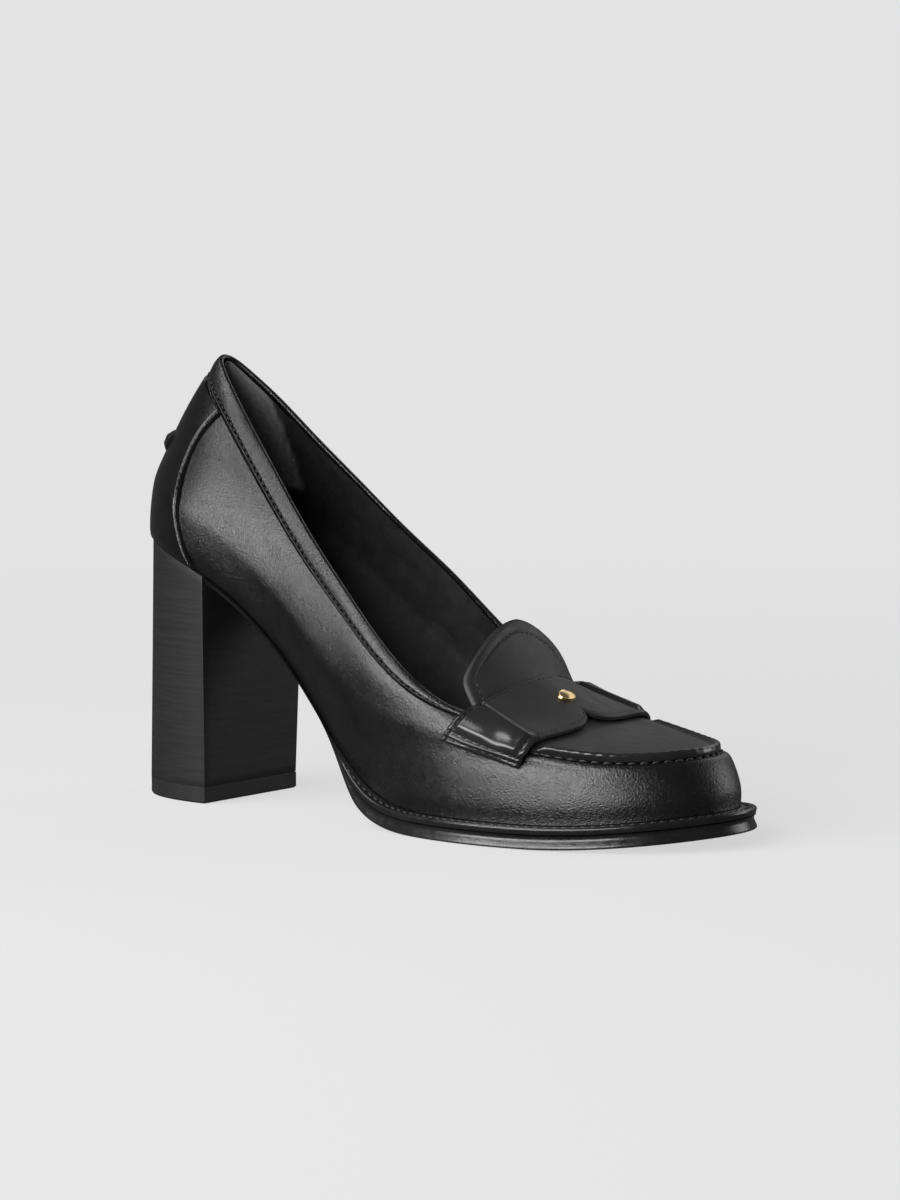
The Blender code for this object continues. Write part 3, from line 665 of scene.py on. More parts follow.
def leather(name, dark, light, satin, polished, grain):
    """Black calf with fine grain and pores, its roughness from satin to polished where burnished."""
    made, tree, shader = new_finish(name)
    tree.links.new(between(tree, noise_of(tree, 70.0, 4.0), dark, light), shader.inputs["Base Color"])
    mark = tree.nodes.new("ShaderNodeAttribute")
    mark.attribute_name = "polish_and_painted_sheen"
    polish = ranged(tree, mark.outputs["Fac"], 0.0, 1.0, satin, polished)
    worn = tree.nodes.new("ShaderNodeMath")
    worn.operation = "ADD"
    tree.links.new(polish, worn.inputs[0])
    tree.links.new(ranged(tree, noise_of(tree, 240.0, 3.0), 0.25, 0.75, -0.05, 0.05), worn.inputs[1])
    tree.links.new(worn.outputs["Value"], shader.inputs["Roughness"])
    add_bump(
        tree,
        shader,
        (
            (noise_of(tree, 55.0, 2.0), 0.5, 0.0006),
            (noise_of(tree, 1700.0, 2.0, roughness=0.55), grain, 0.00034),
            (cells_of(tree, 1500.0), grain * 0.8, 0.0001),
        ),
    )
    return made


def satin_edge(name, colour, roughness):
    """Painted sole edge, with the faint strokes of the edge iron."""
    made, tree, shader = new_finish(name)
    light = tuple(1.8 * part for part in colour)
    tree.links.new(between(tree, noise_of(tree, 60.0, 4.0), colour, light), shader.inputs["Base Color"])
    worn = ranged(tree, noise_of(tree, 300.0, 3.0), 0.3, 0.7, roughness - 0.06, roughness + 0.08)
    tree.links.new(worn, shader.inputs["Roughness"])
    add_bump(tree, shader, ((noise_of(tree, 420.0, 3.0, (1.0, 1.0, 3.0)), 0.25, 0.00015),))
    return made


def stacked(name):
    """Layers of leather pressed together, stained black, with fine level streaks."""
    made, tree, shader = new_finish(name)
    streaks = noise_of(tree, 60.0, 5.0, (0.35, 0.35, 45.0), 0.7)
    shade_of = between(tree, streaks, grey(0.007), (0.015, 0.015, 0.0147), 0.30, 0.72)
    tree.links.new(shade_of, shader.inputs["Base Color"])
    worn = ranged(tree, noise_of(tree, 90.0, 4.0, (1.0, 1.0, 12.0)), 0.3, 0.7, 0.46, 0.60)
    tree.links.new(worn, shader.inputs["Roughness"])
    shader.inputs["Specular IOR Level"].default_value = 0.35
    layers = noise_of(tree, 14.0, 1.0, (0.05, 0.05, 22.0))
    add_bump(tree, shader, ((layers, 0.3, 0.00025), (streaks, 0.2, 0.00008)))
    return made


def soft_lining(name):
    """Matt black lining leather with a short nap, a lighter grey at the heel grip: painted sheen of the nap.
    """
    made, tree, shader = new_finish(name)
    dark = between(tree, noise_of(tree, 160.0, 4.0), (0.009, 0.009, 0.0094), (0.020, 0.020, 0.021))
    # The lighter grey is painted sheen of the grip's suede nap.
    light = between(tree, noise_of(tree, 700.0, 3.0), grey(0.14), grey(0.22))
    mark = tree.nodes.new("ShaderNodeAttribute")
    mark.attribute_name = "polish_and_painted_sheen"
    mix = tree.nodes.new("ShaderNodeMix")
    mix.data_type = "RGBA"
    tree.links.new(mark.outputs["Fac"], mix.inputs[0])
    tree.links.new(dark, mix.inputs[6])
    tree.links.new(light, mix.inputs[7])
    tree.links.new(mix.outputs[2], shader.inputs["Base Color"])
    worn = ranged(tree, noise_of(tree, 500.0, 3.0), 0.3, 0.7, 0.62, 0.78)
    tree.links.new(worn, shader.inputs["Roughness"])
    shader.inputs["Specular IOR Level"].default_value = 0.3
    add_bump(tree, shader, ((noise_of(tree, 1800.0, 3.0), 0.4, 0.00012),))
    return made


def thread_of(name):
    """Waxed black thread, its twist seen as fine slanted ribs."""
    made, tree, shader = new_finish(name)
    ply = noise_of(tree, 2600.0, 1.0, (1.0, 1.6, 1.0))
    tree.links.new(between(tree, ply, grey(0.010), grey(0.022)), shader.inputs["Base Color"])
    tree.links.new(ranged(tree, ply, 0.3, 0.7, 0.38, 0.52), shader.inputs["Roughness"])
    add_bump(tree, shader, ((ply, 0.5, 0.00012),))
    return made


def rubber_of(name):
    """Black rubber, matt with a faint moulded texture."""
    made, tree, shader = new_finish(name)
    shade_of = between(tree, noise_of(tree, 90.0, 3.0), grey(0.007), grey(0.014))
    tree.links.new(shade_of, shader.inputs["Base Color"])
    tree.links.new(ranged(tree, noise_of(tree, 260.0, 3.0), 0.3, 0.7, 0.48, 0.6), shader.inputs["Roughness"])
    shader.inputs["Specular IOR Level"].default_value = 0.35
    add_bump(tree, shader, ((noise_of(tree, 900.0, 2.0), 0.3, 0.0001),))
    return made


def gold_of(name):
    """Polished pale gold with hairline wear."""
    made, tree, shader = new_finish(name)
    shade_of = between(tree, noise_of(tree, 500.0, 2.0), (0.80, 0.56, 0.24), (0.92, 0.70, 0.36))
    tree.links.new(shade_of, shader.inputs["Base Color"])
    shader.inputs["Metallic"].default_value = 1.0
    hairlines = noise_of(tree, 700.0, 3.0, (1.0, 6.0, 1.0))
    tree.links.new(ranged(tree, hairlines, 0.3, 0.7, 0.16, 0.30), shader.inputs["Roughness"])
    add_bump(tree, shader, ((hairlines, 0.08, 0.00005),))
    return made


CALF = leather("calf", (0.0036, 0.0036, 0.0037), (0.0072, 0.0072, 0.0074), 0.30, 0.25, 0.60)
# A darker copy of the calf for the back strip: its darker colour is painted shade.
SHADED_CALF = leather("shaded_calf", (0.0020, 0.0020, 0.0021), (0.0040, 0.0040, 0.0041), 0.28, 0.21, 0.35)
MATT_CALF = leather("matt_calf", (0.011, 0.011, 0.0115), (0.017, 0.017, 0.0175), 0.56, 0.21, 0.08)
EDGE = satin_edge("painted_edge", grey(0.006), 0.24)
STACK = stacked("stacked_leather")
LINING = soft_lining("lining")
THREAD = thread_of("black_thread")
RUBBER = rubber_of("rubber")
GOLD = gold_of("pale_gold")


# Upper

SEAM_SPAN = (9.4, 18.6)
seam_fine = np.linspace(*SEAM_SPAN, 1601)
seam_run = run_of(skin(seam_fine, SEAM_ROW))


def moc_wave(station):
    """1 in the middle of a stitch of the moccasin seam and -1 between two."""
    middle_run = np.interp(TOE, seam_fine, seam_run)
    return np.cos(2 * math.pi * (np.interp(station, seam_fine, seam_run) - middle_run) / MOC_PITCH)


def has_seam(station):
    return 1.0 - blend(4.0, 4.5, np.abs(np.asarray(station, float) - TOE))


def has_collar(station):
    return blend(2.8, 3.7, np.abs(np.asarray(station, float) - TOE))


def crease_relief(stations, spots):
    """Height that the creases add, at points on the skin, fading at both ends of each."""
    relief = np.zeros(spots.shape[:-1])
    for first, last, width, depth in CREASES:
        a, b = skin(*first), skin(*last)
        path = b - a
        share = np.clip(((spots - a) @ path) / (path @ path), -0.4, 1.4)
        away = np.linalg.norm(spots - (a + share[..., None] * path), axis=-1)
        ends = blend(-0.35, 0.25, share) * (1.0 - blend(0.75, 1.35, share))
        relief += depth * np.exp(-((away / width) ** 2)) * ends
    return relief


# Rows of the collar, as millimetres down from the topline, closest together at its two grooves
COLLAR_ROWS = np.concatenate(
    [
        (8.4, 8.0, 7.75, 7.6, 7.5, 7.42, 7.34, 7.26, 7.16, 7.04),
        (6.9, 6.75, 6.6, 6.45, 6.3, 6.15, 6.02, 5.9, 5.78, 5.65),
        (5.5, 5.2, 4.7, 4.1, 3.4, 2.7, 2.0, 1.4, 0.9, 0.5, 0.2, 0.0),
    ]
)


def make_upper():
    toe_part = spaced(SEAM_SPAN[0], SEAM_SPAN[1], SEAM_ROW, 0.00055)
    outer_part = spaced(0.0, SEAM_SPAN[0], SEAM_ROW, 0.0013)
    inner_part = spaced(SEAM_SPAN[1], ROUND, SEAM_ROW, 0.0013)
    stations = np.concatenate([outer_part[:-1], toe_part, inner_part[1:-1]])
    fine_rows = np.linspace(0.0, TOP, 361)
    up_run = run_of(skin(stations[:, None], fine_rows[None]))
    drops = COLLAR_ROWS / 1000.0
    rows = np.empty((len(stations), 34 + 26 + len(drops)))
    wall_shares = np.concatenate([np.linspace(0.0, 0.86, 20)[:-1], np.linspace(0.86, 1.0, 15)])
    for k, run in enumerate(up_run):
        band = np.interp(run[-1] - drops, run, fine_rows)
        rows[k, :34] = SEAM_ROW * wall_shares
        rows[k, 34:60] = SEAM_ROW + (band[0] - SEAM_ROW) * (np.linspace(0.0, 1.0, 28)[1:-1] ** 1.25)
        rows[k, 60:] = band
    run = np.array([np.interp(r, fine_rows, u) for r, u in zip(rows, up_run)])
    to_seam = np.array([np.interp(SEAM_ROW, fine_rows, u) for u in up_run])[:, None] - run
    drop = (up_run[:, -1:] - run) * 1000.0
    around = stations[:, None]
    spots = skin(around, rows)
    seam, collar = has_seam(around), has_collar(around)
    wave = moc_wave(around)
    below = to_seam * 1000.0
    out = crease_relief(around, spots)
    out += seam * 0.001 * (
        -0.42 * bump(below, -0.1, 0.75)
        + 0.38 * bump(below, 2.3, 1.5)
        - 0.07 * wave * bump(below, 1.0, 0.9)
    )
    step = 1.0 - blend(7.1, 7.32, drop)
    band_shape = 0.62 + 0.34 * np.sin(math.pi * np.clip(drop / 5.6, 0.0, 1.0)) ** 0.8
    out += collar * 0.001 * (
        step * band_shape
        - 0.62 * bump(drop, 1000.0 * COLLAR_LINE, 0.24)
        + 0.30 * bump(drop, 6.6, 0.36)
        - 0.55 * bump(drop, 7.42, 0.20)
    )
    out -= 0.0007 * bump(run * 1000.0, 0.0, 3.5)
    side_seam = around - SIDE_SEAM + SIDE_SEAM_LEAN * rows / TOP
    out -= 0.00028 * bump(side_seam, 0.0, 0.022) * (drop > 7.4)
    outside = on_skin(around, rows, out)
    top_normal = skin_normal(stations, np.full(len(stations), TOP - 0.01))
    upward = unit(skin(stations, TOP) - skin(stations, TOP - 0.05))
    edge = []
    crown = skin(stations, TOP)
    turned = out[:, -1]
    for share in (0.15, 0.35, 0.55, 0.75, 0.92):
        level = turned + (-OUTER_LEATHER - 0.0002 - turned) * share
        rise = 0.00065 * math.sin(math.pi * share) ** 0.7
        edge.append(crown + top_normal * level[:, None] + upward * rise)
    inside = [
        on_skin(stations, row, -OUTER_LEATHER) for row in (TOP - 0.05, 5.5, 4.6, 3.6, 2.6, 1.6, 0.7, 0.0)
    ]
    ring = np.concatenate([outside, np.stack(edge, axis=1), np.stack(inside, axis=1)], axis=1)
    piece = band_of("upper_shell", ring)
    spot = place_of(piece)
    gloss = 0.55 + 0.45 * blend(0.02, 0.08, spot[:, 2])
    polish_and_painted_sheen(piece, gloss)
    dress(piece, 60.0, CALF, "upper_leather", "upper")


def make_lining():
    """The lining inside the wall, with a soft grip sewn in round the heel."""
    stations = spaced(0.0, ROUND, SEAM_ROW, 0.0016)[:-1]
    around = stations[:, None]
    rows = np.linspace(TOP - 0.02, 0.0, 46)[None]
    from_back = np.minimum(around, ROUND - around)
    drop = (1.0 - rows / TOP) * 65.0
    grip = 1.0 - blend(GRIP_REACH, GRIP_REACH + 0.06, from_back)
    grip = grip * (1.0 - blend(GRIP_DROP, GRIP_DROP + 0.8, drop))
    seam = bump(from_back, GRIP_SEAM, 0.05) * (drop < GRIP_DROP + 1.0)
    fold = 0.0002 * np.sin(around * 3.1 + rows * 1.3) * blend(0.5, 2.0, rows) * (1 - blend(4.6, 5.6, rows))
    out = -WALL - 0.00035 * grip + 0.00018 * seam + fold
    inner = on_skin(around, np.broadcast_to(rows, out.shape), out)
    outer_rows = np.array((0.0, 1.5, 3.0, 4.5, 5.6))[None]
    outer = on_skin(around, outer_rows, np.full((len(stations), 5), -OUTER_LEATHER - 0.00015))
    piece = band_of("upper_lining", np.concatenate([inner, outer], axis=1))
    spot = place_of(piece)
    # The mask picks out the grip at the heel's back, which gets painted sheen.
    back = (1.0 - blend(0.0385, 0.0405, spot[:, 0])) * blend(0.099, 0.101, spot[:, 2])
    polish_and_painted_sheen(piece, back)
    dress(piece, 60.0, LINING, "lining_leather", "upper")
    line = [
        line_on_skin(np.full(60, side), np.linspace(5.85, 1.9, 60), -WALL - 0.0002)
        for side in (GRIP_LINE, ROUND - GRIP_LINE)
    ]
    line = [(points, -normals) for points, normals in line]
    sew("lining_stitches", line, FINE_PITCH, 0.0017, 0.0005, 0.25, "lining_leather")


# Apron

RIM = (
    # distance in from the seam, height over the skin, in millimetres
    (0.00, 0.45),
    (0.10, 1.20),
    (0.30, 1.95),
    (0.65, 2.55),
    (1.10, 2.85),
    (1.60, 2.82),
    (2.10, 2.45),
    (2.50, 1.95),
    (2.85, 1.50),
    (3.15, 1.32),
    (3.60, 1.42),
    (4.30, 1.50),
)


def make_apron():
    first, last = 10.0, ROUND - 10.0
    stations = spaced(first, last, SEAM_ROW, 0.0005)
    rim = np.array(RIM)
    shares = np.linspace(0.0, 1.0, 17)[1:]
    face, back, depths = [], [], []
    fine_rows = np.linspace(SEAM_ROW, TOP, 301)
    for station in stations:
        spots = skin(station, fine_rows)
        run = run_of(spots)
        ahead = spots[:, 0] - SLICE_SLOPE * spots[:, 2] - APRON_END
        end = float(np.interp(0.0, -ahead, run))
        inward = np.concatenate([rim[:, 0] / 1000.0, 0.0043 + (end - 0.0043) * shares])
        inward = np.minimum(inward, end * np.linspace(0.2, 1.0, len(inward)))
        inward[0] = 0.0
        row = np.interp(inward, run, fine_rows)
        spot = skin(station, row)
        share = np.clip((spot[:, 1] - middle(spot[:, 0])) / STRAP_REACH, -1.0, 1.0)
        strap_end = STRAP_REAR + STRAP_WIDTH - STRAP_SKEW * share
        clear = blend(0.0006, 0.0042, spot[:, 0] - SLICE_SLOPE * spot[:, 2] - strap_end)
        d = inward * 1000.0
        full = np.interp(d, rim[:, 0], rim[:, 1])
        flat = np.minimum(full, 1.45)
        wave = float(moc_wave(station))
        pinch = -0.09 * wave * bump(d, 0.7, 0.8) - 0.08 * wave * bump(d, 3.0, 0.5)
        swell = 0.35 * np.sin(math.pi * np.clip((d - 4.3) / max(1.0, end * 1000 - 4.3), 0, 1)) ** 2
        height = flat + (full + pinch - flat) * clear + swell * clear
        face.append(on_skin(station, row, height / 1000.0))
        back.append(on_skin(station, row, np.full(len(row), 1.4 * GAP)))
        depths.append(d)
    face, back = np.array(face), np.array(back)
    piece = plate_of("apron_plug", face, back)
    gloss = (1.0 - blend(2.2, 3.4, np.array(depths))).ravel()
    polish_and_painted_sheen(piece, np.concatenate([gloss, gloss]))
    dress(piece, 50.0, MATT_CALF, "upper_leather", "apron")
    return face, stations


def sew_moc(apron_face, apron_stations):
    """The hand sewing of the moccasin seam: a thick row on the wall and a finer one inside the rim."""
    outside = line_on_skin(apron_stations[6:-6], SEAM_ROW - 0.07, 0.0002)
    sew("moc_stitches", [outside], MOC_PITCH, 0.0029, 0.00075, 0.35)
    count = len(apron_stations)
    rows = np.linspace(40.0, count - 41.0, count)
    inside = line_on_grid(apron_face, rows, 9.0)
    if inside[1][len(rows) // 2][2] < 0:
        inside = (inside[0], -inside[1])
    sew("rim_stitches", [inside], MOC_PITCH, 0.0026, 0.0005)


# Strap


def strap_front(across):
    return STRAP_REAR + STRAP_WIDTH - STRAP_NOTCH * through(NOTCH, np.abs(across))


def strap_reach(part):
    return STRAP_REACH + (STRAP_REACH_FRONT - STRAP_REACH) * part


def strap_place(share, part):
    """Slice and girth of a point of the strap, from its share across and its part from rear to front."""
    start = STRAP_REAR + (strap_front(share) - STRAP_REAR) * part - STRAP_SKEW * share
    return start, share * strap_reach(part)


half_across = np.concatenate(
    [np.linspace(0.0, 0.52, 40)[:-1], np.linspace(0.52, 0.80, 45)[:-1], np.linspace(0.80, 1.0, 45)]
)
STRAP_ACROSS = np.concatenate([-half_across[:0:-1], half_across])
STRAP_PARTS = np.concatenate(
    [np.linspace(0.0, 0.16, 21)[:-1], np.linspace(0.16, 0.84, 44)[:-1], np.linspace(0.84, 1.0, 21)]
)


def fold_girth(part):
    return FOLD_REAR + (FOLD_FRONT - FOLD_REAR) * part


def strap_relief(share, part):
    """Height of the strap's face over its plain thickness, in millimetres: flat and matt on top, a
    padded panel at either end inside a flat border, and two grooves for stitches along each end."""
    _, girth = strap_place(share, part)
    reach = strap_reach(part)
    length = (strap_front(share) - STRAP_REAR) * ON_SURFACE * 1000.0
    down = (np.abs(girth) - fold_girth(part)) * 1000.0
    end = (reach - np.abs(girth)) * 1000.0
    rear, front = part * length, (1.0 - part) * length
    panel = blend(0.9, 3.2, down) * blend(1.7, 3.4, rear) * blend(1.5, 3.4, front) * blend(3.3, 5.2, end)
    relief = 1.05 * panel
    relief -= 0.50 * panel * bump(down, 7.8, 1.9) * bump(part, 0.62, 0.15)
    relief += 0.25 * panel * bump(down, 3.6, 1.8)
    relief -= 0.25 * panel * bump(down, 5.0, 1.5) * bump(part, 0.88, 0.10)
    on_end = blend(0.2, 1.4, down)
    relief -= 0.30 * bump(rear, 1.6, 0.28)
    relief += 0.16 * bump(rear, 0.8, 0.7)
    relief -= 0.24 * bump(front, 1.65, 0.26) * (1.0 - 0.5 * on_end)
    relief -= 0.55 * bump(down, 0.8, 0.42) * blend(1.0, 1.8, front)
    relief -= 0.30 * bump(end, 1.5, 0.34) + 0.34 * bump(end, 3.1, 0.36)
    relief += 0.10 * bump(end, 2.3, 0.4)
    relief -= 0.45 * bump(front, 0.0, 0.45) + 0.35 * bump(end, 0.0, 0.45) + 0.45 * bump(rear, 0.0, 0.4)
    return relief


def make_strap():
    across, parts = np.meshgrid(STRAP_ACROSS, STRAP_PARTS)
    start, girth = strap_place(across, parts)
    covered = np.maximum(seam_girth(start), TONGUE_HALF)
    on_wall = blend(0.0013, 0.0058, np.abs(girth) - covered)
    above_apron = 3 * GAP + APRON_THICKNESS + 0.0001
    lift = above_apron + (GAP - above_apron) * on_wall
    over = on_slice(start, girth, lift + STRAP_THICKNESS + strap_relief(across, parts) / 1000.0)
    under = on_slice(start, girth, lift)
    piece = plate_of("strap", over, under)
    down = (np.abs(girth) - fold_girth(parts)) * 1000.0
    shares = blend(-0.2, 1.6, down).ravel()
    polish_and_painted_sheen(piece, np.concatenate([shares, shares]))
    dress(piece, 50.0, MATT_CALF, "upper_leather", "saddle_strap")
    return over


def strap_line(over, part, at):
    """A line on the strap's face with outward normals, from its parts and its shares across."""
    rows = np.interp(part, STRAP_PARTS, np.arange(len(STRAP_PARTS)))
    columns = np.interp(at, STRAP_ACROSS, np.arange(len(STRAP_ACROSS)))
    points, normals = line_on_grid(over, rows, columns)
    away = points - np.array((0.14, 0.002, 0.02))
    return points, normals * np.where((normals * away).sum(axis=-1, keepdims=True) < 0, -1.0, 1.0)


def sew_strap(over):
    share = np.linspace(-0.96, 0.96, 401)
    length = ON_SURFACE * (strap_front(share) - STRAP_REAR)
    rear, front = STRAP_LINES
    lines = [strap_line(over, 1.0 - front / length, share), strap_line(over, rear / length, share)]
    parts = np.linspace(0.08, 0.92, 80)
    reach = strap_reach(parts)
    for side in (-1.0, 1.0):
        lines.append(strap_line(over, parts, side * (fold_girth(parts) + 0.0008) / reach))
    sew("strap_stitches", lines, FINE_PITCH, 0.0018, 0.00045)
    ends = [
        strap_line(over, parts, side * (1.0 - inset / reach))
        for side in (-1.0, 1.0)
        for inset in STRAP_END_LINES
    ]
    sew("strap_end_stitches", ends, 0.0028, 0.0021, 0.0006, 0.35)


# Tongue


def tongue_half(share):
    closing = np.maximum(0.0, (share - TONGUE_SHOULDER) / (1.0 - TONGUE_SHOULDER))
    return TONGUE_HALF * (1.0 - closing**2.35) ** 0.66


def make_tongue():
    """The rounded tab behind the strap, with one stitched line inside its edge."""
    across = np.linspace(-1.0, 1.0, 121)
    centre = len(across) // 2
    girths = across * TONGUE_HALF
    rows = []
    for part in np.linspace(0.0, 1.0, 14):
        start = APRON_END - 2 * GAP + (TONGUE_ROOT - APRON_END + 2 * GAP) * part
        rows.append(on_slice(start - STRAP_SKEW * girths / STRAP_REACH * part, girths, GAP))
    base = rows[-1]
    root = len(rows) - 1
    steps = 62
    spot = np.zeros(2)
    for k in range(1, steps + 1):
        share = k / steps
        lean = math.radians(TONGUE_LEAN[0] + (TONGUE_LEAN[1] - TONGUE_LEAN[0]) * share)
        spot = spot + TONGUE_RISE / steps * np.array((-math.cos(lean), math.sin(lean)))
        width = max(float(tongue_half(min(share, 0.999))) / TONGUE_HALF, 0.04)
        y = base[centre, 1] + (base[:, 1] - base[centre, 1]) * width
        x = np.interp(y, base[:, 1], base[:, 0])
        z = np.interp(y, base[:, 1], base[:, 2])
        rows.append(np.stack([x + spot[0], y + TONGUE_TIP_SWING * share**1.5, z + spot[1]], axis=-1))
    low = np.array(rows)
    normal = unit(np.cross(np.gradient(low, axis=0), np.gradient(low, axis=1)))
    normal = np.where(normal[..., 2:] < 0, -normal, normal)
    up = (np.arange(len(low)) - root) / steps
    half = np.maximum(tongue_half(np.clip(up, 0.0, 0.999)), 0.04 * TONGUE_HALF)
    level = np.broadcast_to(up[:, None] * TONGUE_RISE, low.shape[:2])
    flat = np.stack([across[None] * half[:, None], level], axis=-1)
    rise = np.linspace(-0.4, 1.0, 281)
    side = tongue_half(np.clip(rise, 0.0, 1.0))
    edge_across = np.concatenate([-side, side[::-1]])
    edge_up = np.concatenate([rise, rise[::-1]]) * TONGUE_RISE
    edge = np.stack([edge_across, edge_up], axis=-1)
    near = np.linalg.norm(flat[:, :, None] - edge[None, None], axis=-1).min(axis=-1)
    thick = TONGUE_THICKNESS - 0.00026 * bump(near, TONGUE_LINE, 0.0004) - 0.0005 * bump(near, 0.0, 0.0006)
    thick = thick + 0.0002 * bump(near, 0.0018, 0.0013)
    high = low + normal * thick[..., None]
    piece = plate_of("tongue_tab", high, low)
    polish_and_painted_sheen(piece, 0.1)
    dress(piece, 50.0, MATT_CALF, "upper_leather", "tongue")
    ahead = np.gradient(edge, axis=0)
    inward = edge + unit(np.stack([ahead[:, 1], -ahead[:, 0]], axis=-1)) * TONGUE_LINE
    apart = np.linalg.norm(inward[:, None] - edge[None], axis=-1).min(axis=-1)
    inward = inward[(apart > 0.97 * TONGUE_LINE) & (inward[:, 1] > -0.004)]
    at_share = inward[:, 1] / TONGUE_RISE
    at_across = inward[:, 0] / np.maximum(tongue_half(np.clip(at_share, 0.0, 0.999)), 1e-4)
    points, normals = line_on_grid(high, root + at_share * steps, (at_across + 1) / 2 * (len(across) - 1))
    normals = normals * np.where(normals[:, :1] + normals[:, 2:] < 0, -1.0, 1.0)
    sew("tongue_stitches", [(points, normals)], FINE_PITCH, 0.0017, 0.00045)


# Back of the shoe


def row_below_top(station, drop):
    rows = np.linspace(TOP, 0.0, 121)
    return float(np.interp(drop, run_of(skin(station, rows)), rows))


def girth_stations(row, girths):
    stations = np.linspace(0.0, 6.0, 241)
    at = np.interp(np.abs(girths), run_of(skin(stations, row)), stations)
    return np.where(np.asarray(girths) <= 0, at, ROUND - at)


def make_back_strip():
    """The panel over the heel's back: its edge a fine ridge with the stitches in a groove beside it."""
    top = row_below_top(0.0, COLLAR_BAND + 0.0012)
    shares = np.linspace(0.0, 1.0, 60)
    side = np.array((0.0, 0.15, 0.35, 0.55, 0.75, 0.95, 1.15, 1.35, 1.55, 1.75, 1.95, 2.2, 2.6, 3.2))
    over, under, seams = [], [], ([], [])
    for share, half in zip(shares, STRIP_HALF * through(STRIP_SHAPE, shares)):
        row = 0.12 + (top - 0.12) * share
        from_side = np.concatenate([side, np.linspace(4.2, half * 1000.0, 24)])
        girths = half - from_side / 1000.0
        girths = np.concatenate([-girths[:-1], girths[::-1]])
        from_side = np.concatenate([from_side[:-1], from_side[::-1]])
        stations = girth_stations(row, girths)
        height = -0.30 + 1.50 * blend(-0.2, 0.75, from_side) - 0.25 * blend(0.75, 1.3, from_side)
        height -= 0.62 * bump(from_side, 1.5, 0.28)
        height -= 0.3 * bump(share * 60.0, 0.0, 1.5)
        over.append(on_skin(stations, row, GAP + BACK_STRIP_THICKNESS * height))
        under.append(on_skin(stations, row, np.full(len(girths), GAP * 0.3)))
        for sign, seam in zip((-1.0, 1.0), seams):
            at = girth_stations(row, sign * (half - STRIP_LINE))
            seam.append((on_skin(at, row, GAP + BACK_STRIP_THICKNESS * 0.66), skin_normal(at, row)))
    piece = plate_of("back_panel", np.array(over), np.array(under))
    polish_and_painted_sheen(piece, 0.8)
    # The back strip's darker colour is painted shade.
    dress(piece, 50.0, SHADED_CALF, "upper_leather", "back_strip")
    lines = [tuple(np.array(part) for part in zip(*seam)) for seam in seams]
    sew("back_stitches", lines, FINE_PITCH, 0.0018, 0.00045)


def make_tab():
    height = float(run_of(skin(0.0, np.linspace(0.0, TOP, 61)))[-1])
    middle_row = row_below_top(0.0, height * (1 - TAB_UP))
    half_rows = TAB_HEIGHT / 2 / height * TOP
    across = np.linspace(-1.0, 1.0, 61)
    over, under = [], []
    lift = 2 * GAP + BACK_STRIP_THICKNESS
    for turn in np.linspace(-1.0, 1.0, 17):
        row = middle_row + half_rows * turn
        stations = girth_stations(row, across * TAB_HALF)
        ends = (1.0 - np.abs(across)) * TAB_HALF * 1000.0
        fold = (1.0 - abs(turn) ** 2.6) * (0.35 + 0.65 * blend(0.0, 1.6, ends))
        fold = fold - 0.16 * bump(turn, -0.25, 0.12) - 0.25 * bump(ends, 3.4, 0.5)
        over.append(on_skin(stations, row, lift + TAB_THICKNESS * np.maximum(fold, 0.05) * 1.15))
        under.append(on_skin(stations, row, np.full(len(across), lift - 0.0004)))
    over = np.array(over)
    piece = plate_of("heel_bar", over, np.array(under))
    polish_and_painted_sheen(piece, 0.6)
    dress(piece, 60.0, CALF, "upper_leather", "heel_tab")
    lines = []
    for column in (7.5, 52.5):
        for first, last in ((2.0, 14.0), (14.0, 2.0)):
            rows = np.linspace(first, last, 12)
            columns = column + np.linspace(-3.0, 3.0, 12)
            points, normals = line_on_grid(over, rows, columns)
            away = points - np.array((0.03, 0.0, 0.12))
            normals = normals * np.sign((normals * away).sum(axis=-1, keepdims=True))
            lines.append((points, normals))
    sew("bar_stitches", lines, 0.0022, 0.0018, 0.0005)


def sew_collar():
    inner = spaced(TOE + COLLAR_START, ROUND, 5.5, 0.001)
    outer = spaced(0.0, TOE - COLLAR_START, 5.5, 0.001)
    stations = np.concatenate([inner, outer[1:]])
    rows = np.array([row_below_top(station, COLLAR_LINE) for station in stations])
    line = line_on_skin(stations, rows, 0.00042)
    sew("collar_stitches", [line], COLLAR_PITCH, 0.0018, 0.0005)
    rows = np.linspace(0.25, 4.9, 60)
    side = line_on_skin(SIDE_SEAM - SIDE_SEAM_LEAN * rows / TOP + 0.09, rows, 0.0)
    sew("side_stitches", [side], COLLAR_PITCH, 0.0017, 0.00045, 0.35)


# Sole


def edge_pair(station, out, drop):
    pair = []
    for side in (station, ROUND - station):
        point, normal = feather(side)
        pair.append(point + normal * out - np.array((0.0, 0.0, drop)))
    return pair


def welt_reach(along):
    return WELT_WIDTH * blend(0.38, 0.51, along / LAST_LENGTH)


def fore_share(along):
    return blend(0.37, 0.48, along / LAST_LENGTH)


EDGE_ROWS = (
    # how much of the hollow is cut, share of the thickness, extra reach at the lip in millimetres
    (0.30, 0.00, 0.0),
    (0.85, 0.07, 0.0),
    (1.00, 0.16, 0.0),
    (1.00, 0.30, 0.0),
    (0.90, 0.38, 0.0),
    (0.62, 0.48, 0.0),
    (0.36, 0.60, 0.0),
    (0.12, 0.72, 0.05),
    (0.0, 0.83, 0.12),
    (0.0, 0.90, 0.12),
)


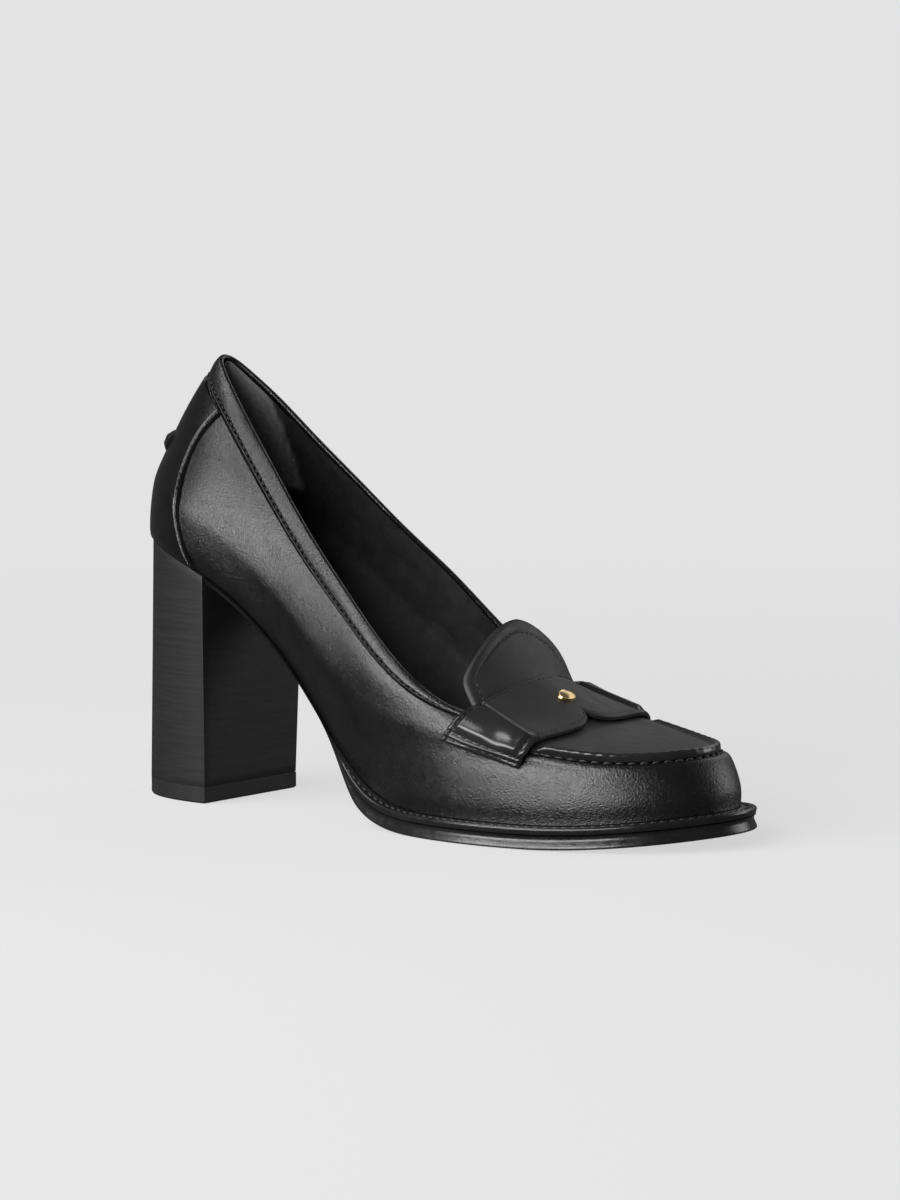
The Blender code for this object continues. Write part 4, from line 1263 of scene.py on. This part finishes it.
def make_outsole():
    first = station_at(BREAST_TOP + GAP)
    rings = []
    for k in range(181):
        station = TOE - (TOE - first) * (1 - k / 180) ** 1.3
        along = feather(station)[0][0]
        fore = float(fore_share(along))
        drop = GAP + (WELT_THICKNESS + GAP) * fore
        thickness = SHANK_THICKNESS + (OUTSOLE_THICKNESS - SHANK_THICKNESS) * fore
        reach = float(welt_reach(along))
        hollow = EDGE_HOLLOW * (0.3 + 0.7 * fore)
        tuck = SHANK_TUCK * (1.0 - fore)
        sides = [
            edge_pair(
                station,
                reach - hollow * cut + lip * fore / 1000.0 - tuck * down,
                drop + thickness * down,
            )
            for cut, down, lip in EDGE_ROWS
        ]
        sides.append(edge_pair(station, reach - SOLE_BEVEL * 0.2 - tuck, drop + thickness * 0.96))
        sides.append(edge_pair(station, reach - SOLE_BEVEL * 1.1 - tuck, drop + thickness))
        sides.append(edge_pair(station, reach - 0.0045, drop + thickness))
        outer = [pair[0] for pair in sides]
        inner = [pair[1] for pair in reversed(sides)]
        across = [outer[-1] + (inner[0] - outer[-1]) * s for s in (0.25, 0.5, 0.75)]
        top = [inner[-1] + (outer[0] - inner[-1]) * s for s in (0.33, 0.67)]
        ring = np.array(outer + across + inner + top)
        ring[:, 2] = np.maximum(ring[:, 2], 0.0)
        rings.append(ring)
    piece = tube_of("sole", np.array(rings))
    dress(piece, 42.0, EDGE, "sole_edge", "outsole")


def make_welt():
    first = station_at(WELT_START * LAST_LENGTH)
    rings, seat = [], []
    count = 420
    for k in range(count + 1):
        share = abs(1 - 2 * k / count)
        station = TOE - (TOE - first) * share**1.2
        if k > count / 2:
            station = ROUND - station
        point, normal = feather(station)
        reach = float(welt_reach(point[0]))
        fore = float(fore_share(point[0]))
        thickness = WELT_THICKNESS * fore
        groove = 0.00022 * fore
        corners = (
            (-WELT_INSIDE, 0.0),
            (0.0004, 0.0),
            (0.0010, groove),
            (min(0.0017, reach), groove * 1.3),
            (max(0.0010, reach - 0.0016), 0.0),
            (reach - 0.00055, -0.00012 * fore),
            (reach - 0.00015, 0.00012),
            (reach + 0.00005, thickness * 0.3),
            (reach - EDGE_HOLLOW * 0.18, thickness * 0.7),
            (reach - EDGE_HOLLOW * 0.3, thickness),
            (-WELT_INSIDE, thickness),
        )
        ring = [point + normal * out - np.array((0.0, 0.0, GAP + down)) for out, down in corners]
        rings.append(ring)
        if fore > 0.6:
            up = np.array((0.0, 0.0, 1.0))
            seat.append((point + normal * 0.0015 - up * (GAP + groove), up))
    piece = tube_of("welt_strip", np.array(rings))
    dress(piece, 42.0, EDGE, "sole_edge", "welt")
    line = tuple(np.array(part) for part in zip(*seat))
    sew("welt_stitches", [line], WELT_PITCH, 0.0022, 0.00062, 0.25, "sole_edge")


def make_insole():
    """The sock lining, a little padded towards its middle."""
    steps = 90
    inset = WALL + 2 * GAP
    over, under = [], []
    for k in range(steps + 1):
        station = TOE * (0.5 - 0.5 * math.cos(math.pi * k / steps))
        sides = [on_skin(s, 0.35, -inset) for s in (station, ROUND - station)]
        feet = [on_skin(s, 0.0, -inset) for s in (station, ROUND - station)]
        shares = np.linspace(0.0, 1.0, 17)[:, None]
        foot = feet[0] + (feet[1] - feet[0]) * shares
        top = sides[0] + (sides[1] - sides[0]) * shares
        edge = np.minimum(shares[:, 0], 1 - shares[:, 0]) * np.linalg.norm(sides[1] - sides[0])
        top[:, 2] = foot[:, 2] + INSOLE_THICKNESS + 0.0007 * blend(0.0, 0.009, edge) - 0.0002
        over.append(top + np.array((0.0, 0.0, GAP)))
        under.append(foot + np.array((0.0, 0.0, GAP)))
    piece = plate_of("sock", np.array(over), np.array(under))
    dress(piece, 50.0, LINING, "lining_leather", "insole")


# Heel


def heel_outline(share, count=46):
    last = station_at(BREAST_TOP)
    foot_length = BREAST_BOTTOM - HEEL_FOOT_BACK
    rows = []
    for k in range(count + 1):
        part = k / count
        top, _ = feather(last * part**0.9)
        angle = math.radians(100.0) * part
        x = HEEL_FOOT_BACK + foot_length * min(1.0, (1 - math.cos(angle)) / 1.06)
        y = HEEL_FOOT_HALF * min(1.0, math.sin(min(angle, math.pi / 2)) ** 0.82)
        x = BREAST_BOTTOM if k == count else x
        bottom = np.array((x, -y, 0.0))
        rows.append(bottom + (top - bottom) * share)
    return rows


def heel_ring(share):
    outer = heel_outline(share)
    inner = [p * np.array((1.0, -1.0, 1.0)) for p in reversed(outer[1:])]
    return np.array(outer + inner)


def with_breast(ring, cells=10):
    """Adds corners along the straight front edge, which closes the ring."""
    corner, start = ring[len(ring) // 2], ring[len(ring) // 2 + 1]
    shares = np.linspace(0.0, 1.0, cells + 1)[1:-1, None]
    line = corner + (start - corner) * shares
    half = len(ring) // 2 + 1
    return np.concatenate([ring[:half], line, ring[half:]])


def make_heel():
    """The stacked block, from the top piece up to the outsole. Its layers are in its finish."""
    top_ring = heel_ring(1.0)
    start = TOP_PIECE_THICKNESS + 0.00005
    rings = []
    for k in range(25):
        share = k / 24
        ring = heel_ring(share)
        ring[:, 2] = start + (top_ring[:, 2] - GAP - start) * share
        rings.append(with_breast(ring))
    piece = tube_of("heel_block", np.array(rings))
    modify(piece, "BEVEL", width=0.00025, segments=2, limit_method="ANGLE", angle_limit=math.radians(50))
    dress(piece, 35.0, STACK, "stacked_leather", "heel")


def make_top_piece():
    rings = []
    for height, inset in ((0.0, 0.0006), (0.0006, 0.0), (0.0030, 0.0), (0.0052, 0.0), (0.0055, 0.0003)):
        ring = heel_ring(0.03)
        ring[:, 2] = height
        centre = ring.mean(axis=0)
        ring[:, :2] = centre[:2] + (ring[:, :2] - centre[:2]) * (1.0 - inset / HEEL_FOOT_HALF)
        rings.append(with_breast(ring))
    piece = tube_of("top_lift", np.array(rings))
    dress(piece, 35.0, RUBBER, "heel_rubber", "top_piece")


def make_stud(over):
    """A plain oval stud with a fine rolled edge."""
    rows, columns = over.shape[0] - 1, over.shape[1] - 1
    spot, normal = line_on_grid(over, np.array([0.58 * rows]), np.array([columns / 2]))
    ahead = lookup(over, np.array([0.62 * rows]), np.array([columns / 2]))[0] - spot[0]
    up = normal[0] if normal[0][2] > 0 else -normal[0]
    ahead = unit(ahead - up * (ahead @ up))
    side = np.cross(up, ahead)
    bpy.ops.object.select_all(action="DESELECT")
    bpy.ops.mesh.primitive_uv_sphere_add(segments=40, ring_count=24, radius=1.0)
    piece = bpy.context.object
    piece.name = "oval_stud"
    ball = corners_of(piece)
    away = np.hypot(ball[:, 0], ball[:, 1])
    rim = 0.22 * bump(away, 0.93, 0.05)
    height = np.sign(ball[:, 2]) * np.abs(ball[:, 2]) ** 0.9
    height = np.where(height > 0, height * 0.85 + rim, height * 0.2)
    points = (
        spot[0]
        + ball[:, :1] * side * STUD_LENGTH / 2
        + ball[:, 1:2] * ahead * STUD_WIDTH / 2
        + height[:, None] * up * STUD_HEIGHT
    )
    move_corners(piece, points - CENTRE)
    edit(piece, outside_out)
    dress(piece, 60.0, GOLD, "stud_metal", "stud")


make_upper()
make_lining()
APRON_FACE, APRON_STATIONS = make_apron()
sew_moc(APRON_FACE, APRON_STATIONS)
STRAP_FACE = make_strap()
sew_strap(STRAP_FACE)
make_tongue()
make_back_strip()
make_tab()
sew_collar()
make_insole()
make_welt()
make_outsole()
make_heel()
make_top_piece()
make_stud(STRAP_FACE)


# Studio


BACKDROP = 0.768
FLOOR_GLOW = 0.618
FLOOR_LIT = 0.165
FILL = 0.10


def make_floor():
    """A pale floor, mostly of its own brightness, that turns into the backdrop away from the shoe."""
    bpy.ops.object.select_all(action="DESELECT")
    bpy.ops.mesh.primitive_plane_add(size=60.0, location=(0.0, 0.0, -0.0002))
    floor = bpy.context.object
    floor.name = "floor"
    made, tree, shader = new_finish("pale_floor")
    place = tree.nodes.new("ShaderNodeTexCoord")
    away = tree.nodes.new("ShaderNodeVectorMath")
    away.operation = "LENGTH"
    tree.links.new(place.outputs["Object"], away.inputs[0])
    far = ranged(tree, away.outputs["Value"], 0.28, 1.0, 0.0, 1.0)
    lit = between(tree, far, grey(FLOOR_LIT), grey(0.0), 0.0, 1.0)
    glow = between(tree, far, grey(FLOOR_GLOW), grey(BACKDROP), 0.0, 1.0)
    tree.links.new(lit, shader.inputs["Base Color"])
    tree.links.new(glow, shader.inputs["Emission Color"])
    shader.inputs["Roughness"].default_value = 0.9
    shader.inputs["Specular IOR Level"].default_value = 0.0
    shader.inputs["Emission Strength"].default_value = 1.0
    floor.data.materials.append(made)
    floor.visible_glossy = False
    floor.visible_diffuse = False


def make_light(name, place, target, width, height, power):
    data = bpy.data.lights.new(name, "AREA")
    data.shape = "RECTANGLE"
    data.size = width
    data.size_y = height
    data.energy = power
    light = bpy.data.objects.new(name, data)
    bpy.context.scene.collection.objects.link(light)
    light.location = place
    light.visible_camera = False
    light.rotation_euler = (Vector(target) - Vector(place)).to_track_quat("-Z", "Y").to_euler()


def make_world():
    world = bpy.data.worlds.new("studio")
    world.use_nodes = True
    tree = world.node_tree
    dim = tree.nodes["Background"]
    dim.inputs["Color"].default_value = (*grey(1.0), 1.0)
    dim.inputs["Strength"].default_value = FILL
    seen = tree.nodes.new("ShaderNodeBackground")
    seen.inputs["Color"].default_value = (*grey(BACKDROP), 1.0)
    rays = tree.nodes.new("ShaderNodeLightPath")
    mix = tree.nodes.new("ShaderNodeMixShader")
    tree.links.new(rays.outputs["Is Camera Ray"], mix.inputs["Fac"])
    tree.links.new(dim.outputs["Background"], mix.inputs[1])
    tree.links.new(seen.outputs["Background"], mix.inputs[2])
    tree.links.new(mix.outputs["Shader"], tree.nodes["World Output"].inputs["Surface"])
    bpy.context.scene.world = world


CAMERA_PLACE = Vector((0.7398, -0.9671, 0.1843))
CAMERA_AIM = Vector((0.0059, 0.0375, 0.0700))
CAMERA_LENS = 116.0382


def make_camera():
    data = bpy.data.cameras.new("camera")
    data.sensor_width = 36.0
    data.lens = CAMERA_LENS
    data.clip_start = 0.05
    data.clip_end = 200.0
    camera = bpy.data.objects.new("camera", data)
    bpy.context.scene.collection.objects.link(camera)
    camera.location = CAMERA_PLACE
    camera.rotation_euler = (CAMERA_AIM - CAMERA_PLACE).to_track_quat("-Z", "Y").to_euler()
    data.shift_x = -0.0615
    data.shift_y = -0.0100
    bpy.context.scene.camera = camera


make_floor()
make_light("key", (-0.19, -1.55, 0.54), (0.0, 0.0, 0.06), 2.1, 0.76, 50.0)
make_light("top", (-0.60, -0.62, 1.30), (0.0, 0.0, 0.06), 0.9, 0.5, 9.0)
make_light("back", (0.10, 1.30, 0.75), (0.0, 0.0, 0.06), 1.8, 0.6, 3.0)
make_light("side", (0.85, 1.15, 0.32), (0.0, 0.0, 0.05), 0.7, 0.55, 3.4)
make_world()
make_camera()
bpy.context.scene.view_settings.view_transform = "Standard"
